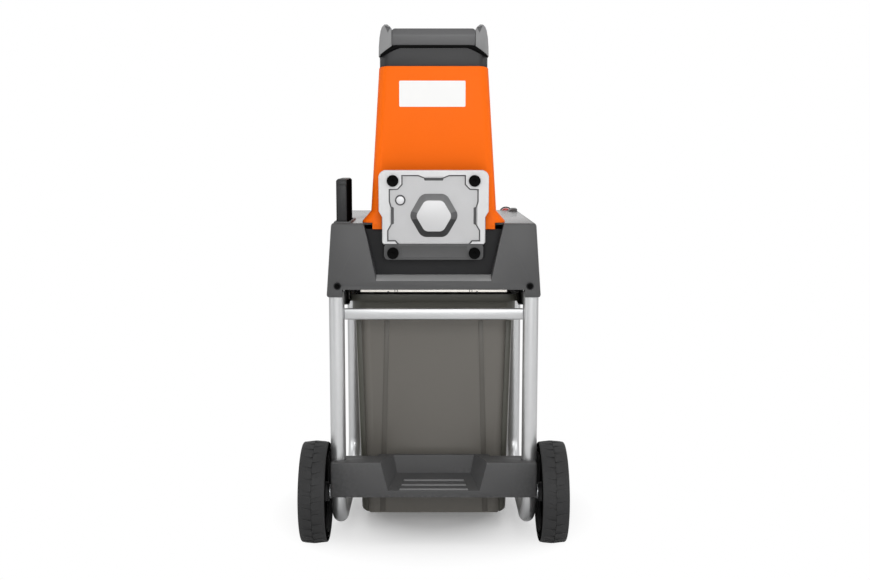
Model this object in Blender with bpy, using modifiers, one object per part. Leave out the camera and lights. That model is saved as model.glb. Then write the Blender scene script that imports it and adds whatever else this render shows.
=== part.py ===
"""Garden roller chipper on two wheels, built as separate pieces in metres, +Z up.

The wheels are at the rear (-Y), the collecting bin slides out to the front (+Y).
The origin is on the floor, at the middle of the machine's outline.
"""
import math

import bmesh
import bpy
from mathutils import Matrix, Vector

# ---------------------------------------------------------------- driving sizes
GAP = 0.0003                 # clearance between pieces that touch
LEG_HALF_TRACK = 0.1875      # middle of the machine to a leg's centre line
WHEELBASE = 0.440            # rear legs to front legs
TUBE_RADIUS = 0.015
TUBE_WALL = 0.0018
BEND_RADIUS = 0.062
RUN_HEIGHT = 0.036           # centre of the tubes' ground run
WHEEL_RADIUS = 0.100
TREAD_WIDTH = 0.052
AXLE_RADIUS = 0.006
GRIP_REACH = 0.060           # front legs to the front of the bin's grip
SHROUD_TOP = 0.631
SHROUD_HEIGHT = 0.127        # top face to the lower edge between the legs
SOCKET_DROP = 0.0155         # leg sockets below the lower edge
SHROUD_TAPER = 0.0103        # top face narrower than the sockets, each side
SHROUD_WALL = 0.004
SOCKET_WALL = 0.003
SPIGOT_EASE = 0.0012         # leg spigots smaller than the tubes' bore
BIN_BASE = 0.034
BIN_SIDE_ROOM = 0.015        # bin's body to a front leg
BIN_TAPER = 0.0095           # foot narrower than the body, each side
BIN_HANG = 0.036             # rails down to the bin's shoulder
RAIL_HEIGHT = 0.0337
BAR_DROP = 0.0045            # rails down to the upper bar
BAR_HEIGHT = 0.022
BIN_WALL = 0.003
HOPPER_HEIGHT = 0.3065       # flange to the hopper's top edge
HOPPER_TOP_HALF = 0.1035
HOPPER_LOW_HALF = 0.1205
HOPPER_DEPTH = 0.290
HOPPER_WALL = 0.0035
MOUTH_SLOPE = -0.20          # the mouth falls to the front
COLLAR_HEIGHT = 0.0405
COVER_HALF = 0.104
COVER_RISE = 0.1006          # shroud's top to the cover's
COVER_HEIGHT = 0.1696
COVER_THICKNESS = 0.012
DRUM_RISE = 0.0167           # shroud's top to the cutter's axis
DRUM_RADIUS = 0.055
DRUM_LENGTH = 0.096
DRUM_TEETH = 8
DRUM_CLEARANCE = 0.005
SHAFT_RADIUS = 0.0125
BEARING_RADIUS = 0.026
MOTOR_DROP = 0.0852          # cutter axis down to the motor axis
MOTOR_RADIUS = 0.055
MOTOR_LENGTH = 0.150
MOTOR_SHAFT_RADIUS = 0.008
GEAR_TEETH = 40
PINION_TEETH = 10
GEAR_WIDTH = 0.020
BOLT_RADIUS = 0.005
BOLT_HEAD_RADIUS = 0.011
LEVER_LENGTH = 0.115
LEVER_WIDTH = 0.022
LEVER_HEIGHT = 0.0835
LEVER_TRAVEL = 0.040
BUTTON_TRAVEL = 0.003

# ---------------------------------------------------------------- stations
FRONT_REACH = WHEELBASE + GRIP_REACH
AXLE_Y = (WHEEL_RADIUS - FRONT_REACH) / 2
AXLE_Z = WHEEL_RADIUS
FRONT_LEG_Y = AXLE_Y + WHEELBASE
LEG_INNER = LEG_HALF_TRACK - TUBE_RADIUS
LEG_OUTER = LEG_HALF_TRACK + TUBE_RADIUS
TUBE_UNDERSIDE = RUN_HEIGHT - TUBE_RADIUS

SHROUD_EDGE = SHROUD_TOP - SHROUD_HEIGHT
SOCKET_BOTTOM = SHROUD_EDGE - SOCKET_DROP
UNDER_SHROUD = SOCKET_BOTTOM - 0.09      # where cuts from below start
SOCKET_DEPTH = 0.010
SHROUD_LOW_HALF = LEG_OUTER + SOCKET_WALL
SHROUD_TOP_HALF = SHROUD_LOW_HALF - SHROUD_TAPER
SHROUD_REAR = AXLE_Y - TUBE_RADIUS - 0.005
SHROUD_FRONT = FRONT_LEG_Y + TUBE_RADIUS + 0.005
LEG_TOP = SOCKET_BOTTOM + SOCKET_DEPTH - GAP
SKIRT_HALF = LEG_INNER + 0.0025          # inner side of the leg sockets
LEDGE_HALF = LEG_INNER - 0.0225          # inner edge of the shroud's bottom ledge
LEDGE_THICKNESS = 0.0035

PLATE_THICKNESS = 0.004
PLATE_TOP = SHROUD_EDGE - GAP
PLATE_HALF = LEDGE_HALF - 0.010
PLATE_BASE = PLATE_TOP - PLATE_THICKNESS

RAIL_WEB = 0.0023
RAIL_LIP = 0.007
RAIL_BASE = PLATE_TOP - RAIL_HEIGHT
RAIL_OUTER = LEG_INNER + 0.002
RAIL_INNER = RAIL_OUTER - RAIL_WEB - RAIL_LIP
COLLAR_LIP_HALF = LEG_INNER - 0.0012     # bin collar passes between the front legs
COLLAR_BODY_HALF = RAIL_INNER - 0.002
BIN_BODY_HALF = LEG_INNER - BIN_SIDE_ROOM
BIN_FOOT_HALF = BIN_BODY_HALF - BIN_TAPER
BIN_TOP = RAIL_BASE + 0.017
BIN_LIP_BASE = RAIL_BASE + RAIL_WEB + GAP
BIN_REAR = AXLE_Y + 0.058
BIN_FRONT = FRONT_LEG_Y + 0.020
BIN_SHOULDER = RAIL_BASE - BIN_HANG
BAR_TOP = RAIL_BASE - BAR_DROP
BAR_BASE = BAR_TOP - BAR_HEIGHT

FLANGE_Z = SHROUD_TOP - 0.012
HOPPER_TOP = FLANGE_Z + HOPPER_HEIGHT
HOPPER_REAR = AXLE_Y
FLANGE_HALF = HOPPER_LOW_HALF + 0.0165
COLLAR_BASE = HOPPER_TOP + GAP
RIM_BASE = COLLAR_BASE + COLLAR_HEIGHT
RIM_HEIGHT = 0.020
HORN_TOP = RIM_BASE + 0.0363
GRIP_HALF = 0.081
GRIP_HEIGHT = 0.0235
GRIP_TOP = HORN_TOP - 0.009

DRUM_Z = SHROUD_TOP + DRUM_RISE          # height of the cutter's axis
COVER_TOP = SHROUD_TOP + COVER_RISE
COVER_BASE = COVER_TOP - COVER_HEIGHT
COVER_FRONT = AXLE_Y - 0.018             # the side that seats on the housing
COVER_REAR = COVER_FRONT - COVER_THICKNESS
COVER_WAIST_HALF = COVER_HALF - 0.005
HEX_HALF_WIDTH = 0.043
HEX_HALF_HEIGHT = 0.0402
HEX_HEIGHT = 0.014
HEX_TAPER = 0.76
BOLT_HALF_SPACING = 0.077
BOLT_TOP_Z = DRUM_Z + 0.0638
BOLT_LOW_Z = DRUM_Z - 0.0723
PIN_X = -0.063
PIN_Z = DRUM_Z + 0.0273
PIN_RADIUS = 0.0045

CHAMBER_REAR = COVER_FRONT + GAP
CHAMBER_WALL = 0.012
CHAMBER_FRONT = CHAMBER_REAR + 0.006 + DRUM_LENGTH + 0.006 + CHAMBER_WALL
CHAMBER_HALF = COVER_WAIST_HALF - 0.001
CHAMBER_TOP = COVER_TOP - 0.0033
CHAMBER_BASE = COVER_BASE + 0.003
CAVITY_RADIUS = DRUM_RADIUS + DRUM_CLEARANCE
CAVITY_FRONT = CHAMBER_FRONT - CHAMBER_WALL
DRUM_REAR = CHAMBER_REAR + 0.006
DRUM_FRONT = DRUM_REAR + DRUM_LENGTH
CHUTE_HALF = 0.058
CHUTE_REAR = AXLE_Y + 0.004
CHUTE_FRONT = CAVITY_FRONT + 0.002

GEARBOX_REAR = CHAMBER_FRONT + GAP
GEARBOX_WALL = 0.005
GEAR_REAR = GEARBOX_REAR + 0.010
GEARBOX_FRONT = GEAR_REAR + GEAR_WIDTH + 0.010 + GEARBOX_WALL
MOTOR_Z = DRUM_Z - MOTOR_DROP
GEAR_MODULE = 2 * MOTOR_DROP / (GEAR_TEETH + PINION_TEETH)
GEAR_PITCH_RADIUS = GEAR_MODULE * GEAR_TEETH / 2
GEARBOX_RADIUS = GEAR_PITCH_RADIUS + 0.0045
MOTOR_REAR = GEARBOX_FRONT + GAP
MOTOR_FRONT = MOTOR_REAR + MOTOR_LENGTH
MOTOR_WALL = 0.003
MOTOR_BEARING_RADIUS = 0.016
END_SHIELD_THICKNESS = 0.010
FAN_REAR = MOTOR_FRONT + END_SHIELD_THICKNESS + 0.006
FAN_DEPTH = 0.018

LEVER_X = -(LEG_HALF_TRACK - 0.013)
LEVER_REAR = AXLE_Y - 0.010
LEVER_BASE = SHROUD_TOP - 0.005
TONGUE_X = -(COLLAR_LIP_HALF - 0.0035)
TONGUE_Y = AXLE_Y + 0.060
TONGUE_THICKNESS = 0.003
TONGUE_WIDTH = 0.020

SWITCH_X = LEG_HALF_TRACK - 0.0375
SWITCH_HALF = 0.040
SWITCH_DEPTH = 0.027
SWITCH_TOP = SHROUD_TOP - 0.001
SWITCH_BASE = SHROUD_EDGE + 0.008
SWITCH_REAR = SHROUD_FRONT + GAP
SWITCH_FRONT = SWITCH_REAR + SWITCH_DEPTH

# colour, roughness, metallic
FINISHES = {
    "orange": ((0.94, 0.17, 0.012), 0.42, 0.0),
    "dark_grey": ((0.085, 0.085, 0.088), 0.5, 0.0),
    "mid_grey": ((0.22, 0.22, 0.23), 0.5, 0.0),
    "black": ((0.012, 0.012, 0.012), 0.45, 0.0),
    "rubber": ((0.016, 0.016, 0.017), 0.85, 0.0),
    "smoke": ((0.12, 0.115, 0.105), 0.3, 0.0),
    "aluminium": ((0.62, 0.63, 0.64), 0.38, 1.0),
    "steel": ((0.42, 0.43, 0.44), 0.35, 1.0),
    "copper": ((0.55, 0.25, 0.12), 0.4, 1.0),
    "red": ((0.6, 0.02, 0.015), 0.4, 0.0),
    "green": ((0.02, 0.3, 0.05), 0.4, 0.0),
}

parts = None
cutters = None


# ---------------------------------------------------------------- tools
def start_scene():
    """Clear the scene and make the collections for the parts and the cutters."""
    global parts, cutters
    for old in list(bpy.data.objects):
        bpy.data.objects.remove(old, do_unlink=True)
    parts = bpy.data.collections.new("roller_chipper")
    cutters = bpy.data.collections.new("cutters")
    bpy.context.scene.collection.children.link(parts)
    bpy.context.scene.collection.children.link(cutters)


def make_material(name, finish):
    """A Principled material for one piece."""
    colour, roughness, metallic = FINISHES[finish]
    material = bpy.data.materials.new(name)
    material.use_nodes = True
    shader = material.node_tree.nodes["Principled BSDF"]
    shader.inputs["Base Color"].default_value = (*colour, 1.0)
    shader.inputs["Roughness"].default_value = roughness
    shader.inputs["Metallic"].default_value = metallic
    material.diffuse_color = (*colour, 1.0)
    return material


def add(name, mesh, finish):
    """Put a mesh in the scene: a part with its material, or a cutter where finish is None."""
    piece = bpy.data.objects.new(name, mesh)
    if finish is None:
        cutters.objects.link(piece)
        piece.hide_render = True
        piece.display_type = "WIRE"
    else:
        parts.objects.link(piece)
        mesh.materials.clear()
        mesh.materials.append(make_material(name, finish))
    return piece


def mesh_from(bm, name):
    """Turn a bmesh into a mesh with its faces pointing out."""
    bmesh.ops.recalc_face_normals(bm, faces=bm.faces)
    mesh = bpy.data.meshes.new(name)
    bm.to_mesh(mesh)
    bm.free()
    return mesh


def round_off(piece, width, segments=2, angle=40):
    """Round a piece's sharp edges."""
    bevel = piece.modifiers.new("round_edges", "BEVEL")
    bevel.width = width
    bevel.segments = segments
    bevel.limit_method = "ANGLE"
    bevel.angle_limit = math.radians(angle)
    return piece


def boolean(piece, tool, operation="DIFFERENCE"):
    """Cut a piece with a cutter, or join the cutter to it."""
    step = piece.modifiers.new(tool.name, "BOOLEAN")
    step.solver = "EXACT"
    step.operation = operation
    step.object = tool


def box(name, finish, low, high, bevel=0.0):
    """A box between two corners, its origin at its middle."""
    bm = bmesh.new()
    bmesh.ops.create_cube(bm, size=1.0)
    bmesh.ops.scale(bm, verts=bm.verts, vec=[b - a for a, b in zip(low, high)])
    piece = add(name, mesh_from(bm, name), finish)
    piece.location = [(a + b) / 2 for a, b in zip(low, high)]
    if bevel:
        round_off(piece, bevel)
    return piece


def wedge(name, finish, rear, front, bevel=0.0):
    """A box whose rear and front faces differ: (half top, half base, base z, top z, y) each."""
    bm = bmesh.new()
    bmesh.ops.create_cube(bm, size=2.0)
    for vert in bm.verts:
        half_top, half_base, base, top, y = rear if vert.co.y < 0 else front
        upper = vert.co.z > 0
        half = half_top if upper else half_base
        vert.co = (math.copysign(half, vert.co.x), y, top if upper else base)
    if finish is None:
        bmesh.ops.triangulate(bm, faces=bm.faces)
    piece = add(name, mesh_from(bm, name), finish)
    if bevel:
        round_off(piece, bevel)
    return piece


def point_along(piece, origin, axis):
    """Place a piece so that its own Z axis runs along a direction from a point."""
    piece.rotation_euler = Vector(axis).to_track_quat("Z", "Y").to_euler()
    piece.location = origin
    return piece


def cylinder(name, finish, radius, start, end, sides=24, end_radius=None):
    """A cylinder or cone from one point to another, its origin at the start."""
    axis = Vector(end) - Vector(start)
    bm = bmesh.new()
    top = radius if end_radius is None else end_radius
    bmesh.ops.create_cone(bm, cap_ends=True, segments=sides, radius1=radius,
                          radius2=top, depth=axis.length)
    bmesh.ops.translate(bm, verts=bm.verts, vec=(0, 0, axis.length / 2))
    piece = add(name, mesh_from(bm, name), finish)
    piece.data.shade_smooth()
    piece.data.set_sharp_from_angle(angle=math.radians(35))
    return point_along(piece, start, axis)


def turned(name, finish, profile, origin, axis, steps=28):
    """A ring or solid of revolution: closed profile of (radius, height) down the outer side."""
    bm = bmesh.new()
    ring = [bm.verts.new((radius, 0, height)) for radius, height in profile]
    closed = all(radius > 0 for radius, _ in profile)
    pairs = list(zip(ring, ring[1:])) + ([(ring[-1], ring[0])] if closed else [])
    for a, b in pairs:
        bm.edges.new((a, b))
    mesh = bpy.data.meshes.new(name)
    bm.to_mesh(mesh)
    bm.free()
    piece = add(name, mesh, finish)
    screw = piece.modifiers.new("turn", "SCREW")
    screw.axis = "Z"
    screw.steps = steps
    screw.render_steps = steps
    screw.use_merge_vertices = True
    screw.merge_threshold = 0.00001
    screw.use_smooth_shade = True
    return point_along(piece, origin, axis)


def ring(name, finish, outer, inner, start, length, axis, steps=20):
    """A plain bush or ring: outer and inner radius, from a point along an axis."""
    profile = [(outer, length), (outer, 0), (inner, 0), (inner, length)]
    return turned(name, finish, profile, start, axis, steps)


def upright_plate(name, finish, outline, rear, depth):
    """A plate cut to an (x, z) outline, from a rear plane forward by its depth."""
    curve = bpy.data.curves.new(name, "CURVE")
    curve.dimensions = "2D"
    curve.fill_mode = "BOTH"
    curve.extrude = depth / 2
    line = curve.splines.new("POLY")
    line.points.add(len(outline) - 1)
    for point, (x, z) in zip(line.points, outline):
        point.co = (x, z, 0, 1)
    line.use_cyclic_u = True
    guide = bpy.data.objects.new(name + "_outline", curve)
    guide.rotation_euler = (math.pi / 2, 0, 0)
    guide.location = (0, rear + depth / 2, 0)
    return solid_from_curve(guide, name, finish)


def solid_from_curve(guide, name, finish):
    """Replace a curve object by a welded mesh piece in the same place."""
    bpy.context.scene.collection.objects.link(guide)
    bpy.context.view_layer.update()
    evaluated = guide.evaluated_get(bpy.context.evaluated_depsgraph_get())
    mesh = bpy.data.meshes.new_from_object(evaluated)
    place = guide.matrix_world.copy()
    bpy.data.objects.remove(guide, do_unlink=True)
    bm = bmesh.new()
    bm.from_mesh(mesh)
    bmesh.ops.remove_doubles(bm, verts=bm.verts, dist=0.00001)
    bm.to_mesh(mesh)
    bm.free()
    piece = add(name, mesh, finish)
    piece.matrix_world = place
    return piece


def arc(centre, radius, start, end, count):
    """Points on an arc in degrees, from start to end."""
    angles = [math.radians(start + (end - start) * i / count) for i in range(count + 1)]
    return [(centre[0] + radius * math.cos(a), centre[1] + radius * math.sin(a)) for a in angles]


def rounded_rectangle(half_x, rear, front, radius, segments=3):
    """Outline of a rectangle with round corners, counter-clockwise from the front right."""
    corners = [(half_x, front, 0), (-half_x, front, 90), (-half_x, rear, 180), (half_x, rear, 270)]
    points = []
    for x, y, turn in corners:
        centre = (x - math.copysign(radius, x), y - radius if y == front else y + radius)
        points += arc(centre, radius, turn, turn + 90, segments)
    return points


def stacked_loops(bm, sections, radius, segments=3):
    """Join round-cornered loops into a skin; a section is (half x, rear, front, z, slope)."""
    loops = []
    for half_x, rear, front, z, slope in sections:
        outline = rounded_rectangle(half_x, rear, front, radius, segments)
        loops.append([bm.verts.new((x, y, z + slope * (y - rear))) for x, y in outline])
    for lower, upper in zip(loops, loops[1:]):
        for i in range(len(lower)):
            j = (i + 1) % len(lower)
            bm.faces.new((lower[i], lower[j], upper[j], upper[i]))
    return loops


def skin(name, finish, sections, radius, wall, base=False, segments=3):
    """A shell of stacked loops with its wall inward, open or with a flat base."""
    bm = bmesh.new()
    loops = stacked_loops(bm, sections, radius, segments)
    if base:
        bm.faces.new(list(reversed(loops[0])))
    mesh = bpy.data.meshes.new(name)
    bm.to_mesh(mesh)
    bm.free()
    piece = add(name, mesh, finish)
    shell = piece.modifiers.new("wall", "SOLIDIFY")
    shell.thickness = wall
    shell.offset = -1.0
    shell.use_even_offset = True
    return piece


def side_name(side):
    """Word for a side: -1 is left, 1 is right, seen from the wheels' end."""
    return "left" if side < 0 else "right"


# ---------------------------------------------------------------- frame and wheels
def frame_tube(side):
    """One bent tube: rear leg, ground run and front leg, open at both tops."""
    x = side * LEG_HALF_TRACK
    top = LEG_TOP
    bend_z = RUN_HEIGHT + BEND_RADIUS
    rear = arc((AXLE_Y + BEND_RADIUS, bend_z), BEND_RADIUS, 180, 270, 5)
    front = arc((FRONT_LEG_Y - BEND_RADIUS, bend_z), BEND_RADIUS, 270, 360, 5)
    route = [(AXLE_Y, top)] + rear + front + [(FRONT_LEG_Y, top)]
    curve = bpy.data.curves.new("leg_route", "CURVE")
    curve.dimensions = "3D"
    curve.bevel_depth = TUBE_RADIUS
    curve.bevel_resolution = 3
    line = curve.splines.new("POLY")
    line.points.add(len(route) - 1)
    for point, (y, z) in zip(line.points, route):
        point.co = (x, y, z, 1)
    guide = bpy.data.objects.new("leg_guide", curve)
    name = side_name(side) + "_frame_tube"
    tube = solid_from_curve(guide, name, "aluminium")
    tube.data.shade_smooth()
    wall = tube.modifiers.new("wall", "SOLIDIFY")
    wall.thickness = TUBE_WALL
    wall.offset = -1.0
    hole = cylinder(name + "_axle_hole", None, AXLE_RADIUS + GAP,
                    (x - 0.03, AXLE_Y, AXLE_Z), (x + 0.03, AXLE_Y, AXLE_Z), 16)
    boolean(tube, hole)


def front_foot(side):
    """Rubber foot under the ground run, in front, with a seat for the tube."""
    x = side * LEG_HALF_TRACK
    end = FRONT_LEG_Y - BEND_RADIUS
    half = TUBE_RADIUS + 0.003
    foot = box(side_name(side) + "_front_foot", "rubber", (x - half, end - 0.055, 0),
               (x + half, end, RUN_HEIGHT - 0.004), 0.003)
    seat = cylinder(foot.name + "_seat", None, TUBE_RADIUS + GAP, (x, end - 0.08, RUN_HEIGHT),
                    (x, end + 0.03, RUN_HEIGHT), 20)
    boolean(foot, seat)


def upper_bar():
    """Flat bar between the rear legs, its ends shaped to the tubes."""
    reach = LEG_INNER + 0.004
    bar = box("upper_rear_bar", "aluminium", (-reach, AXLE_Y - 0.004, BAR_BASE),
              (reach, AXLE_Y + 0.004, BAR_TOP), 0.003)
    for side in (-1, 1):
        saddle = cylinder(side_name(side) + "_bar_saddle", None, TUBE_RADIUS + GAP,
                          (side * LEG_HALF_TRACK, AXLE_Y, BAR_BASE - 0.015),
                          (side * LEG_HALF_TRACK, AXLE_Y, BAR_TOP + 0.013), 20)
        boolean(bar, saddle)


STEP_HALF = LEG_OUTER - 0.0015
STEP_REAR = AXLE_Y - 2 * TUBE_RADIUS
STEP_FRONT = AXLE_Y + TUBE_RADIUS + 0.007
STEP_BASE = AXLE_Z - 0.004
STEP_TOP = STEP_BASE + 0.0712
STEP_MIDDLE_HALF = 0.112
STEP_MIDDLE_FRONT = AXLE_Y + 0.052
STEP_SHELF = STEP_BASE + 0.0140
STEP_WALL = 0.004


def foot_step():
    """Rear crossbar moulding round both legs, with a shelf for a foot in its middle."""
    step = box("foot_step", "dark_grey", (-STEP_HALF, STEP_REAR, STEP_BASE),
               (STEP_HALF, STEP_FRONT, STEP_TOP), 0.004)
    middle = box("step_middle", None, (-STEP_MIDDLE_HALF, STEP_REAR + 0.004, STEP_BASE + 0.002),
                 (STEP_MIDDLE_HALF, STEP_MIDDLE_FRONT, STEP_TOP - 0.005), 0.003)
    boolean(step, middle, "UNION")
    pocket = wedge("step_pocket", None,
                   (0.107, 0.090, STEP_SHELF, STEP_TOP + 0.01, STEP_REAR - 0.002),
                   (0.083, 0.0737, STEP_SHELF + 0.0150, STEP_TOP + 0.01,
                    STEP_MIDDLE_FRONT - 0.010))
    boolean(step, pocket)
    under = box("step_under", None, (-STEP_MIDDLE_HALF + 0.006, STEP_REAR + STEP_WALL,
                                      STEP_BASE - 0.016),
                (STEP_MIDDLE_HALF - 0.006, STEP_MIDDLE_FRONT - STEP_WALL,
                 STEP_SHELF - STEP_WALL))
    boolean(step, under)
    for side in (-1, 1):
        word = side_name(side)
        inner = side * (STEP_MIDDLE_HALF + 0.001)
        outer = side * (STEP_HALF - STEP_WALL)
        hollow = box(word + "_step_hollow", None,
                     (min(inner, outer), STEP_REAR + STEP_WALL, STEP_BASE - 0.016),
                     (max(inner, outer), STEP_FRONT - STEP_WALL, STEP_TOP - STEP_WALL))
        boolean(step, hollow)
        x = side * LEG_HALF_TRACK
        channel = cylinder(word + "_step_channel", None, TUBE_RADIUS + GAP,
                           (x, AXLE_Y, STEP_BASE - 0.016), (x, AXLE_Y, STEP_TOP + 0.0175), 20)
        boolean(step, channel)
    bore = box("step_axle_slot", None, (-STEP_HALF - 0.01, AXLE_Y - AXLE_RADIUS - GAP,
                                        STEP_BASE - 0.016),
               (STEP_HALF + 0.01, AXLE_Y + AXLE_RADIUS + GAP, AXLE_Z + AXLE_RADIUS + GAP))
    boolean(step, bore)


WHEEL_INNER = LEG_OUTER + 0.0035
WHEEL_OUTER = WHEEL_INNER + TREAD_WIDTH
RIM_RADIUS = WHEEL_RADIUS - 0.024


def wheel(side):
    """Tyre, hub, cap and washer of one wheel, each turned about the axle."""
    word = side_name(side)
    axis = (side, 0, 0)
    start = (side * WHEEL_INNER, AXLE_Y, AXLE_Z)
    width = TREAD_WIDTH
    shoulder = 0.010
    tyre = [(WHEEL_RADIUS, width - shoulder), (WHEEL_RADIUS, shoulder),
            (WHEEL_RADIUS - 0.006, 0.002), (WHEEL_RADIUS - 0.014, 0), (RIM_RADIUS, 0.004),
            (RIM_RADIUS, width - 0.004), (WHEEL_RADIUS - 0.014, width),
            (WHEEL_RADIUS - 0.006, width - 0.002)]
    turned(word + "_tyre", "rubber", tyre, start, axis, 28)
    seat = RIM_RADIUS - GAP
    web = width / 2
    hub = [(seat, width - 0.005), (seat, 0.005), (seat - 0.004, 0.005),
           (seat - 0.004, web - 0.004), (0.022, web - 0.004), (0.018, 0.0005),
           (AXLE_RADIUS + GAP, 0.0005), (AXLE_RADIUS + GAP, width - 0.012),
           (0.018, width - 0.012), (0.022, web + 0.004), (seat - 0.004, web + 0.004),
           (seat - 0.004, width - 0.005)]
    turned(word + "_wheel_hub", "mid_grey", hub, start, axis, 28)
    cap_base = width - 0.012 + GAP
    cap = [(0, width - 0.0008), (0.012, width - 0.001), (0.016, cap_base + 0.003),
           (0.016, cap_base), (AXLE_RADIUS + GAP, cap_base),
           (AXLE_RADIUS + GAP, cap_base + 0.005), (0, cap_base + 0.005)]
    turned(word + "_hub_cap", "black", cap, start, axis, 14)
    washer_start = (side * (LEG_OUTER + GAP), AXLE_Y, AXLE_Z)
    ring(word + "_washer", "steel", 0.014, AXLE_RADIUS + GAP, washer_start,
         WHEEL_INNER - LEG_OUTER - GAP, axis, 16)


def axle():
    """Rod through both legs, ending inside the wheels' caps."""
    reach = WHEEL_OUTER - 0.0085
    cylinder("axle", "steel", AXLE_RADIUS, (-reach, AXLE_Y, AXLE_Z), (reach, AXLE_Y, AXLE_Z), 20)


# ---------------------------------------------------------------- shroud
CUT_TOP_HALF = 0.135
CUT_LOW_HALF = 0.110
CUT_SILL = SHROUD_EDGE + 0.011
REAR_FRAME = 0.022           # depth of the frame round the cut-out
SCREW_X = LEG_HALF_TRACK - 0.0035
SCREW_Z = SHROUD_EDGE + 0.007
VENT_HALF = 0.088
VENT_BASE = SHROUD_EDGE + 0.012
VENT_TOP = SHROUD_TOP - 0.018


def shroud():
    """Saddle over the four legs, hollow from below, open for the chamber and the hopper."""
    rear, front = SHROUD_REAR, SHROUD_FRONT
    body = wedge("shroud", "dark_grey",
                 (SHROUD_TOP_HALF, SHROUD_LOW_HALF, SOCKET_BOTTOM, SHROUD_TOP, rear),
                 (SHROUD_TOP_HALF, SHROUD_LOW_HALF, SOCKET_BOTTOM, SHROUD_TOP, front), 0.005)
    roof = SHROUD_TOP - SHROUD_WALL
    inner_half = SHROUD_TOP_HALF - SHROUD_WALL
    leg_room = 2 * TUBE_RADIUS + 0.010
    boolean(body, box("shroud_middle", None, (-SKIRT_HALF, rear + REAR_FRAME, SHROUD_EDGE
                      + LEDGE_THICKNESS), (SKIRT_HALF, front - SHROUD_WALL, roof)))
    boolean(body, box("shroud_sides", None, (-inner_half, rear + leg_room, SHROUD_EDGE
                      + LEDGE_THICKNESS), (inner_half, front - leg_room, roof)))
    boolean(body, box("shroud_mouth", None, (-LEDGE_HALF, rear + REAR_FRAME, UNDER_SHROUD),
                      (LEDGE_HALF, front - SHROUD_WALL, roof)))
    boolean(body, box("shroud_low_edge", None, (-SKIRT_HALF, rear - 0.01, UNDER_SHROUD),
                      (SKIRT_HALF, front + 0.01, SHROUD_EDGE)))
    boolean(body, box("shroud_side_edge", None, (-0.3, rear + leg_room, UNDER_SHROUD),
                      (0.3, front - leg_room, SHROUD_EDGE)))
    boolean(body, box("shroud_hopper_hole", None,
                      (-HOPPER_LOW_HALF + 0.002, HOPPER_REAR + 0.0015, roof - 0.01),
                      (HOPPER_LOW_HALF - 0.002, HOPPER_REAR + HOPPER_DEPTH - 0.024,
                       SHROUD_TOP + 0.01)))
    cut_out = wedge("shroud_cut_out", None,
                    (CUT_TOP_HALF, CUT_LOW_HALF, CUT_SILL, SHROUD_TOP + 0.004, rear - 0.01),
                    (CUT_TOP_HALF, CUT_LOW_HALF, CUT_SILL + 0.02, SHROUD_TOP + 0.004,
                     HOPPER_REAR + 0.0025))
    boolean(body, cut_out)
    boolean(body, box("shroud_vent_hole", None, (-VENT_HALF, front - 0.01, VENT_BASE),
                      (VENT_HALF, front + 0.01, VENT_TOP)))
    boolean(body, box("tongue_slot", None,
                      (TONGUE_X - TONGUE_THICKNESS, TONGUE_Y - TONGUE_WIDTH / 2 - 0.001,
                       UNDER_SHROUD),
                      (TONGUE_X + TONGUE_THICKNESS, TONGUE_Y + TONGUE_WIDTH / 2 + 0.001,
                       SHROUD_EDGE + 0.01)))
    half = LEVER_WIDTH / 2 + 2 * GAP
    boolean(body, box("lever_well", None,
                      (LEVER_X - half, LEVER_REAR - 2 * GAP, LEVER_BASE - LEVER_TRAVEL - 0.001),
                      (LEVER_X + half, LEVER_REAR + LEVER_LENGTH + 2 * GAP, SHROUD_TOP + 0.01)))
    for side in (-1, 1):
        for end, y in (("rear", AXLE_Y), ("front", FRONT_LEG_Y)):
            socket = cylinder(f"{side_name(side)}_{end}_socket", None, TUBE_RADIUS + GAP,
                              (side * LEG_HALF_TRACK, y, UNDER_SHROUD),
                              (side * LEG_HALF_TRACK, y, SOCKET_BOTTOM + SOCKET_DEPTH), 20)
            boolean(body, socket)
            spigot = cylinder(f"{side_name(side)}_{end}_spigot", None,
                              TUBE_RADIUS - TUBE_WALL - SPIGOT_EASE,
                              (side * LEG_HALF_TRACK, y, SOCKET_BOTTOM - 0.035),
                              (side * LEG_HALF_TRACK, y, SOCKET_BOTTOM + SOCKET_DEPTH + 0.004), 12)
            boolean(body, spigot, "UNION")
        screw_hole = cylinder(side_name(side) + "_screw_hole", None, 0.0025 + GAP,
                              (side * SCREW_X, rear - 0.01, SCREW_Z),
                              (side * SCREW_X, rear + 0.012, SCREW_Z), 12)
        boolean(body, screw_hole)


def shroud_screw(side):
    """Pan-head screw low on the shroud's rear face."""
    x = side * SCREW_X
    head = [(0, 0.0145), (0.0035, 0.014), (0.0048, 0.0122), (0.005, 0.0103), (0.0025, 0.0103),
            (0.0025, 0), (0, 0)]
    turned(side_name(side) + "_shroud_screw", "steel", head, (x, SHROUD_REAR + 0.010, SCREW_Z),
           (0, -1, 0), 10)


def chassis_plate():
    """Sheet steel plate under the shroud that carries the cutting unit."""
    plate = box("chassis_plate", "aluminium", (-PLATE_HALF, SHROUD_REAR + 0.001, PLATE_BASE),
                (PLATE_HALF, SHROUD_FRONT - 0.006, PLATE_TOP))
    hole = box("plate_hole", None, (-CHUTE_HALF + 0.004, CHUTE_REAR + 0.004, UNDER_SHROUD),
               (CHUTE_HALF - 0.004, CHUTE_FRONT - 0.004, PLATE_TOP + 0.01))
    boolean(plate, hole)


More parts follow.
